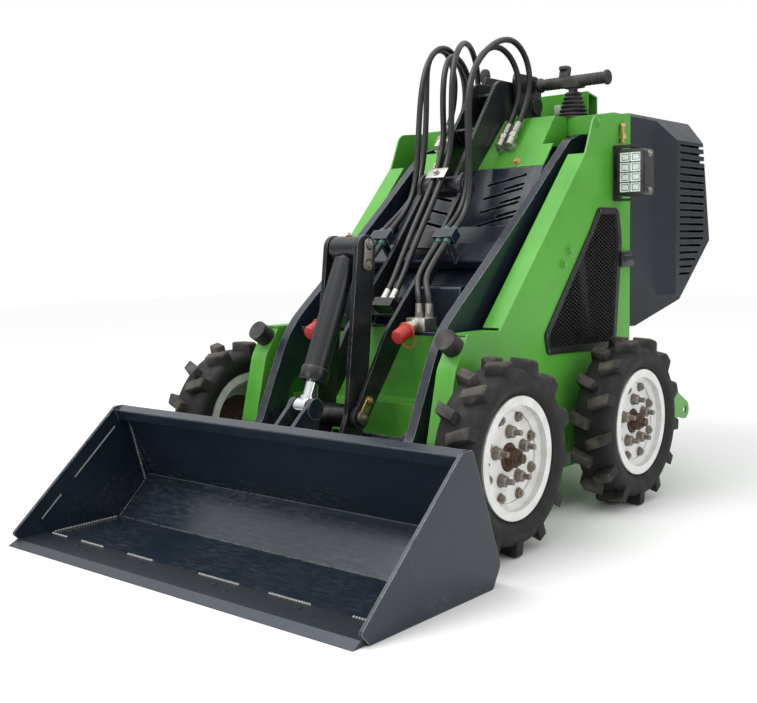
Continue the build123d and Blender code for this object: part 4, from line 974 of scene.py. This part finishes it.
class LOADER_OT_controls(bpy.types.Operator):
    """Builds the bellows, the T grip and the lever on the deck"""

    bl_idname = "loader.controls"
    bl_label = "Controls"

    def bellows(self, bm, x, y, radius, folds, rise):
        profile = [(0.002, 0.0), (radius * 1.12, 0.0), (radius * 1.12, 0.004)]
        for index in range(folds):
            wide = radius * (1 - 0.5 * index / folds)
            low = 0.004 + rise * index / folds
            step = rise / folds
            profile += [(wide * 0.84, low + step * 0.08), (wide, low + step * 0.45),
                        (wide, low + step * 0.6), (wide * 0.8, low + step * 0.95)]
        profile += [(radius * 0.3, rise + 0.006), (0.002, rise + 0.006)]
        lathe(bm, profile, at(x, y, DECK_TOP), UP, 40)

    def execute(self, context):
        self.drive_handle(*HANDLE)
        self.side_lever(*SIDE_LEVER)
        plugs = bmesh.new()
        block(plugs, at(-858, 92, 1128), (0.016, 0.018, 0.030), round_by=0.002)
        block(plugs, at(-858, 122, 1122), (0.016, 0.020, 0.020), round_by=0.002)
        piece("deck_connectors", plugs, "white_paint", "chassis")
        return {"FINISHED"}

    def drive_handle(self, x, y):
        bm = bmesh.new()
        self.bellows(bm, x, y, 0.044, 6, 0.072)
        rod(bm, at(x, y, 1158), at(x, y, 1208), 0.013, 24)
        block(bm, at(x, y, 1190), (0.046, 0.060, 0.028), round_by=0.005)
        grip = [(0.002, -0.117), (0.019, -0.117), (GRIP_END, -0.113), (GRIP_END, -0.106),
                (GRIP_TUBE, -0.100)]
        for index in range(15):
            low = -0.094 + index * 0.013
            grip += [(GRIP_TUBE, low), (GRIP_RIB, low + 0.002), (GRIP_RIB, low + 0.008),
                     (GRIP_TUBE, low + 0.010)]
        grip += [(GRIP_TUBE, 0.104), (GRIP_END, 0.108), (GRIP_END, 0.114), (0.019, 0.117),
                 (0.002, 0.117)]
        lathe(bm, grip, at(x, y, 1196), (0, 1, 0), 36)
        tilt = Matrix.Rotation(math.radians(-14), 4, "Y")
        block(bm, at(x - 4, y - 30, 1221), (0.020, 0.032, 0.046), tilt, 0.005)
        block(bm, at(x + 6, y - 30, 1238), (0.010, 0.026, 0.012), tilt, 0.003)
        handle = piece("drive_grip", bm, "black_rubber", "chassis", 40)
        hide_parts("drive_handle")

    def side_lever(self, x, y):
        bm = bmesh.new()
        self.bellows(bm, x, y, 0.034, 5, 0.066)
        rod(bm, at(x, y, 1150), at(x, y, 1226), 0.0068, 20)
        knob = [(0.001, 0), (0.010, 0), (0.015, 0.008), (0.0165, 0.022), (0.0145, 0.037),
                (0.009, 0.044), (0.001, 0.0445)]
        lathe(bm, knob, at(x, y, 1220), UP, 32)
        lever = piece("side_lever", bm, "black_rubber", "chassis", 40)
        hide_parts("joystick")


# a coupler's nipple and its red cap along their axis; columns: radius, reach, in m
COUPLER_FRONT = Vector((0.93, 0, -0.37)).normalized()
COUPLER_NIPPLE = [
    (0.001, -0.004), (0.015, -0.004), (0.015, 0.010), (0.013, 0.012), (0.013, 0.020),
    (0.017, 0.022), (0.017, 0.034), (0.001, 0.034),
]
COUPLER_CAP = [
    (0.001, 0.033), (0.0185, 0.033), (0.019, 0.037), (0.019, 0.044), (0.0175, 0.046),
    (0.0175, 0.052), (0.019, 0.054), (0.019, 0.076), (0.0165, 0.083), (0.001, 0.085),
]
HOSE_END = [(0, 0.014, 0.0115, 6), (0.013, 0.036, 0.0105, 24)]


class LOADER_OT_couplers(bpy.types.Operator):
    """Builds the quick couplers with red caps and their straps"""

    bl_idname = "loader.couplers"
    bl_label = "Couplers"

    def execute(self, context):
        front = COUPLER_FRONT
        for side, way in SIDES.items():
            metal = bmesh.new()
            block(metal, at(-84, 150 * way, 522), (0.052, 0.060, 0.034), round_by=0.003)
            for y in (165, 134):
                stack(metal, at(-98, y * way, 538), UP, HOSE_END)
            base = at(-62, 150 * way, 525)
            lathe(metal, COUPLER_NIPPLE, base, front, 32)
            body = piece(f"coupler_{side}", metal, "zinc", "lift_arms")
            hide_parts("aux_couplers")
            cap = bmesh.new()
            lathe(cap, COUPLER_CAP, base, front, 36)
            piece(f"coupler_cap_{side}", cap, "red_cap", "lift_arms")
            strap = bmesh.new()
            groove = base + front * 0.040
            ring(strap, groove, front, 0.0205, 0.0022)
            ring(strap, groove + Vector((0, 0.004, -0.020)), (0.1, 1, 0.25), 0.024, 0.002)
            tint = "orange" if way > 0 else "red_cap"
            piece(f"coupler_strap_{side}", strap, tint, "lift_arms")
        return {"FINISHED"}


# rods of the fittings; columns as in stack()
PORT_BOSS = [(-0.001, 0.013, 0.0165, 6), (0.012, 0.030, 0.010, 24)]
PORT_STEM = [(-0.008, 0.020, 0.012, 24), (0.018, 0.034, 0.0145, 6), (0.033, 0.042, 0.0095, 24)]
LINK_HOSE_END = [(-0.034, -0.012, 0.0104, 24), (-0.013, 0.001, 0.0115, 6)]


class LOADER_OT_fittings(bpy.types.Operator):
    """Adds crimped sleeves, hexagons and clamps along the hoses"""

    bl_idname = "loader.fittings"
    bl_label = "Hose fittings"

    def execute(self, context):
        ports = bmesh.new()
        for y, rise in PORTS.values():
            base = HOOD_MID + PANEL_UP * rise + Vector((0, y, 0))
            stack(ports, at(*base), PANEL_OUT, PORT_BOSS)
            self.stem(ports, at(*(base + PANEL_OUT * PORT_OUT)), PANEL_UP)
        self.stem(ports, at(*DECK_PORT, 1086), UP)
        made = piece("port_fittings", ports, "zinc", "chassis", 30)
        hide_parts("hydraulic_ports")
        sleeves = bmesh.new()
        half_sleeve = Vector((0.747, 0, -0.665)) * 0.030
        for y in (98, 124, -98, -124):
            middle = at(-248, y, 744.6)
            rod(sleeves, middle - half_sleeve, middle + half_sleeve, 0.0102, 28)
        piece("clamp_sleeves", sleeves, "teal", "lift_arms")
        plate = bmesh.new()
        out = Vector((math.cos(LINK_LEAN), 0, math.sin(LINK_LEAN)))
        tube = at(-400, 0, 884)
        turn = Matrix.Rotation(-LINK_LEAN, 4, "Y")
        block(plate, tube + out * 0.0555, (0.004, 0.064, 0.036), turn, 0.0012)
        rod(plate, tube + out * 0.028, tube + out * 0.054, 0.005, 16)
        bolt(plate, tube + out * 0.0575, out, 0.0075)
        piece("link_clamps", plate, "zinc", "level_link")
        ends = bmesh.new()
        down = Vector((out.z, 0, -out.x))
        x, z = LINK_TIE
        for y in (14, -14):
            stack(ends, at(x, y, z) + out * 0.025, down, LINK_HOSE_END)
        piece("link_hose_ends", ends, "zinc", "level_link")
        return {"FINISHED"}

    def stem(self, bm, start, along):
        """Elbow body, swivel nut and crimped shell, up to the hose."""
        stack(bm, start, along, PORT_STEM)
        shell = [(0.001, 0.041), (0.0105, 0.041)]
        for index in range(4):
            low = 0.043 + index * 0.008
            shell += [(0.0118, low), (0.0118, low + 0.005), (0.0108, low + 0.006),
                      (0.0108, low + 0.0075)]
        shell += [(0.0105, 0.077), (0.009, 0.079), (0.001, 0.079)]
        lathe(bm, shell, start, along, 28)


# the tilt cylinder's pins at rest, in mm
TILT_TOP = (15, 0, 715)
TILT_FOOT = (190, 0, 330)


class LOADER_OT_link_parts(bpy.types.Operator):
    """Adds pin keepers, grease points and pin caps to the link, lever and arms"""

    bl_idname = "loader.link_parts"
    bl_label = "Pins and keepers"

    def keeper(self, bm, centre, out, turn, length):
        """Round-ended strip held by two bolts across the end of a pin."""
        along = Vector((math.cos(turn), 0, math.sin(turn)))
        tilt = Matrix.Rotation(-turn, 4, "Y")
        wide = length * 0.36
        block(bm, centre + out * 0.003, (length - wide, 0.006, wide), tilt, 0.0015)
        for reach in (-0.32, 0.32):
            spot = centre + along * length * reach
            rod(bm, spot, spot + out * 0.006, wide / 2, 28)
            bolt(bm, spot + out * 0.006, out, wide * 0.26, 0.005)

    def execute(self, context):
        lever, link, arms = bmesh.new(), bmesh.new(), bmesh.new()
        for way in (1, -1):
            out = Vector((0, way, 0))
            self.keeper(lever, at(16, 60 * way, 700), out, math.radians(97), 0.080)
            rod(lever, at(66, 74 * way, 296), at(66, 82 * way, 296), 0.017, 28)
            bolt(lever, at(66, 82 * way, 296), out, 0.0075, 0.005)
            self.keeper(link, at(49, 71 * way, 317), out, math.radians(128), 0.070)
            arm_pin = [(0, 0.004, 0.030, 32), (0.003, 0.011, 0.021, 28)]
            stack(arms, at(150, 268 * way, 115), out, arm_pin)
            bolt(arms, at(150, 279 * way, 115), out)
        piece("lever_keepers", lever, "dull_nut", "lever")
        piece("link_keepers", link, "brass", "level_link")
        piece("arm_pin_caps", arms, "zinc", "lift_arms")
        base = at(*TILT_TOP)
        nipple = bmesh.new()
        rod(nipple, base + UP * 0.029, base + UP * 0.041, 0.0045, 16, 0.003)
        piece("grease_nipple", nipple, "zinc", "tilt_barrel")
        seal = bmesh.new()
        ring(seal, base + UP * 0.0325, UP, 0.0062, 0.0022)
        piece("nipple_ring", seal, "red_cap", "tilt_barrel")
        gland = bmesh.new()
        line = at(*TILT_FOOT) - base
        end = line.length - 0.068
        section = [(0.0155, end - 0.034), (0.0345, end - 0.034), (0.0355, end - 0.031),
                   (0.0355, end - 0.006), (0.033, end), (0.0155, end)]
        lathe(gland, section, base, line, 40)
        piece("tilt_gland", gland, "black_steel", "tilt_barrel")
        return {"FINISHED"}


# breather on each tower, as rods from its foot up; columns as in stack()
BREATHER = [(0, 0.046, 0.008, 24), (0.010, 0.024, 0.0115, 6), (0.045, 0.054, 0.0105, 20, 0.008)]
# a side of the rear cover's sheet of painted shade, close inside its louvres; columns: x, z, in mm
COVER_SIDE = [(-1095, 604), (-1150, 612), (-1258, 730), (-1258, 1046), (-1095, 1046)]
COVER_HALF = 346


class LOADER_OT_body_parts(bpy.types.Operator):
    """Adds bolts, latches, breathers and black sheets of painted shade behind the rear cover's louvres
    """

    bl_idname = "loader.body_parts"
    bl_label = "Body fasteners"

    def execute(self, context):
        gold = bmesh.new()
        for y, z in ((129, 954), (-159, 962)):
            base = HOOD_MID + PANEL_UP * (z - HOOD_MID.z) / PANEL_UP.z + Vector((0, y, 0))
            bolt(gold, at(*base), PANEL_OUT, 0.0085, 0.006)
        piece("hood_bolts", gold, "brass", "chassis")
        green, black, brass = bmesh.new(), bmesh.new(), bmesh.new()
        for way in (1, -1):
            out = Vector((0, way, 0))
            for x, z in ((-483, 702), (-452, 665)):
                bolt(green, at(x, TOWER_OUT * way, z), out, 0.010, 0.007)
            for x, z in ((-800, 1060), (-640, 1050), (-818, 150), (-40, 150), (60, 150)):
                bolt(green, at(x, TOWER_OUT * way, z), out, 0.008, 0.005)
            for (x, z, _), (inner_x, inner_z, _) in zip(SCREEN_OUTER, SCREEN_INNER):
                spot = at((x + inner_x) / 2, (TOWER_OUT + 4) * way, (z + inner_z) / 2)
                bolt(black, spot, out, 0.004, 0.0025, washer=False)
            block(black, at(-804, (TOWER_OUT + 7) * way, 672), (0.078, 0.014, 0.046), round_by=0.006)
            block(black, at(-796, (TOWER_OUT + 16) * way, 672), (0.046, 0.008, 0.022), round_by=0.003)
            stack(brass, at(-775, (TOWER_OUT + 7) * way, 1004), UP, BREATHER)
        piece("tower_bolts", green, "green_paint", "chassis")
        piece("latch_and_screws", black, "black_steel", "chassis")
        piece("side_breather", brass, "brass", "chassis")
        self.cover_shade_sheet()
        return {"FINISHED"}

    def cover_shade_sheet(self):
        """Black sheets close behind the louvres of the rear cover, as painted shade."""
        side = [Vector(spot) for spot in COVER_SIDE]
        for name, way in SIDES.items():
            bm = sheet_between("cover_shade_sheet", [side], COVER_HALF * way, 0.0015)
            piece(f"cover_shade_sheet_{name}", bm, "matt_black", "chassis")
        bm = bmesh.new()
        block(bm, at(-1258.5, 0, 888), (0.0015, 0.6934, 0.316), round_by=0.0003)
        piece("cover_shade_sheet_back", bm, "matt_black", "chassis")


# the bucket in mm: where its edge plate begins, the plate's top, half the room between its sides
EDGE_SEAM = 558
EDGE_TOP = 12
BUCKET_HALF = 567
# welds along that seam; columns: from, to
SEAM_WELDS = [(-545, -480), (-420, -330), (-235, -140), (20, 150), (240, 360), (470, 545)]
# slope of a side plate's front edge: a point on it and the way down
SLOPE_FROM = (310, 279)
SLOPE_DOWN = (0.75, -0.661)
EDGE_BOLT = [(0, 0.0032, 0.010, 24), (0.002, 0.0042, 0.0062, 4)]


class LOADER_OT_bucket_parts(bpy.types.Operator):
    """Runs weld beads along the bucket and sets its edge bolts"""

    bl_idname = "loader.bucket_parts"
    bl_label = "Bucket welds and bolts"

    def execute(self, context):
        welds = bmesh.new()
        for way in (1, -1):
            y = (BUCKET_HALF - 1) * way
            self.bead(welds, (345, y, 7), (EDGE_SEAM - 20, y, 7))
            self.bead(welds, (236, y, 54), (300, y, 292))
            for span in ((40, 215), (270, 350)):
                near, far = [
                    (SLOPE_FROM[0] + SLOPE_DOWN[0] * reach, y, SLOPE_FROM[1] + SLOPE_DOWN[1] * reach)
                    for reach in span
                ]
                self.bead(welds, near, far, 0.0034)
        for near, far in SEAM_WELDS:
            x, z = EDGE_SEAM - 1, EDGE_TOP - 1
            self.bead(welds, (x, near, z), (x, far, z), 0.0046)
        piece("bucket_welds", welds, "weld", "bucket", 60)
        bolts = bmesh.new()
        for group in (-375, -125, 125, 375):
            for off, x in ((-26, 585), (26, 602)):
                stack(bolts, at(x, group + off, EDGE_TOP - 2), UP, EDGE_BOLT)
        piece("edge_bolts", bolts, "worn_steel", "bucket")
        return {"FINISHED"}

    def bead(self, bm, start, end, radius=0.005):
        """Row of overlapping ripples, as a hand-laid weld shows."""
        start, end = at(*start), at(*end)
        count = max(4, int((end - start).length / (1.5 * radius)))
        for index in range(count):
            spot = Matrix.Translation(start.lerp(end, (index + 0.5) / count))
            bmesh.ops.create_icosphere(bm, subdivisions=1, radius=radius, matrix=spot)


# studio lights in m and W; columns: name, place, aim, size, power
LIGHTS = [
    ("key_light", (1.6, -0.8, 3.8), (0, 0, 0.5), 2.2, 75),
    ("side_light", (0.2, 4.4, 1.7), (-0.3, 0.2, 0.5), 1.8, 16),
    ("front_light", (4.6, -0.6, 1.6), (0.2, 0, 0.5), 1.8, 26),
]


class LOADER_OT_stage(bpy.types.Operator):
    """Lays the pale floor and lights the loader softly"""

    bl_idname = "loader.stage"
    bl_label = "Studio"

    def execute(self, context):
        context.scene.view_settings.view_transform = "Standard"
        self.floor(context)
        self.world(context)
        for light in LIGHTS:
            self.light(*light)
        return {"FINISHED"}

    def floor(self, context):
        bm = bmesh.new()
        bmesh.ops.create_grid(bm, x_segments=1, y_segments=1, size=12)
        bmesh.ops.translate(bm, verts=bm.verts, vec=(0, 0, -0.0006))
        mesh = bpy.data.meshes.new("floor")
        bm.to_mesh(mesh)
        bm.free()
        material, tree, shader = fresh("floor_paper")
        shader.inputs["Base Color"].default_value = (0.93, 0.93, 0.93, 1)
        shader.inputs["Roughness"].default_value = 0.85
        mesh.materials.append(material)
        floor = bpy.data.objects.new("floor", mesh)
        context.scene.collection.objects.link(floor)

    def world(self, context):
        """White to the camera, even light on rough surfaces, a sky gradient in mirrored ones."""
        world = bpy.data.worlds.new("studio_air")
        world.use_nodes = True
        tree = world.node_tree
        mirrored = tree.nodes["Background"]
        split = tree.nodes.new("ShaderNodeSeparateXYZ")
        tree.links.new(tree.nodes.new("ShaderNodeTexCoord").outputs["Generated"], split.inputs[0])
        sky = spread(tree, split.outputs["Z"], 0.0, 0.8, 0.15, 1.7)
        tree.links.new(sky, mirrored.inputs["Strength"])
        mirrored.inputs["Color"].default_value = (1, 1, 1, 1)
        path = tree.nodes.new("ShaderNodeLightPath")
        seen = maths(
            tree, "ADD", path.outputs["Is Camera Ray"], path.outputs["Is Transmission Ray"],
        )
        fill = self.air(tree, path.outputs["Is Diffuse Ray"], 0.9, mirrored.outputs[0])
        whole = self.air(tree, seen, 1.0, fill)
        tree.links.new(whole, tree.nodes["World Output"].inputs["Surface"])
        context.scene.world = world

    def air(self, tree, share, strength, otherwise):
        """White air of one strength for some rays, and another shader for the rest."""
        white = tree.nodes.new("ShaderNodeBackground")
        white.inputs["Color"].default_value = (1, 1, 1, 1)
        white.inputs["Strength"].default_value = strength
        either = tree.nodes.new("ShaderNodeMixShader")
        tree.links.new(share, either.inputs[0])
        tree.links.new(otherwise, either.inputs[1])
        tree.links.new(white.outputs[0], either.inputs[2])
        return either.outputs[0]

    def light(self, name, spot, target, size, power):
        data = bpy.data.lights.new(name, "AREA")
        data.size = size
        data.energy = power
        lamp = bpy.data.objects.new(name, data)
        lamp.location = spot
        lamp.rotation_euler = (Vector(target) - lamp.location).to_track_quat("-Z", "Y").to_euler()
        bpy.context.scene.collection.objects.link(lamp)


OPERATORS = [
    LOADER_OT_camera, LOADER_OT_hoses, LOADER_OT_finishes, LOADER_OT_tyres, LOADER_OT_wheel_parts,
    LOADER_OT_screens, LOADER_OT_lamps, LOADER_OT_controls, LOADER_OT_couplers, LOADER_OT_fittings,
    LOADER_OT_link_parts, LOADER_OT_body_parts, LOADER_OT_bucket_parts, LOADER_OT_stage,
]


class LOADER_PT_pieces(bpy.types.Panel):
    """Lists the loader's sizes, colours and pieces"""

    bl_idname = "LOADER_PT_pieces"
    bl_label = "Loader"
    bl_space_type = "VIEW_3D"
    bl_region_type = "UI"
    bl_category = "Loader"

    def draw(self, context):
        for group in (context.scene.loader_sizes, context.scene.loader_colours):
            for name in group.__annotations__:
                self.layout.prop(group, name)
        for operator in OPERATORS:
            self.layout.operator(operator.bl_idname)


CLASSES = [LoaderSizes, LoaderColours, *OPERATORS, LOADER_PT_pieces]


def register():
    for cls in CLASSES:
        bpy.utils.register_class(cls)
    bpy.types.Scene.loader_sizes = PointerProperty(type=LoaderSizes)
    bpy.types.Scene.loader_colours = PointerProperty(type=LoaderColours)


def unregister():
    del bpy.types.Scene.loader_colours
    del bpy.types.Scene.loader_sizes
    for cls in reversed(CLASSES):
        bpy.utils.unregister_class(cls)


def main():
    register()
    FINISH.update(make_materials())
    for operator in OPERATORS:
        group, name = operator.bl_idname.split(".")
        getattr(getattr(bpy.ops, group), name)()
    bpy.context.view_layer.update()


if __name__ == "__main__":
    main()
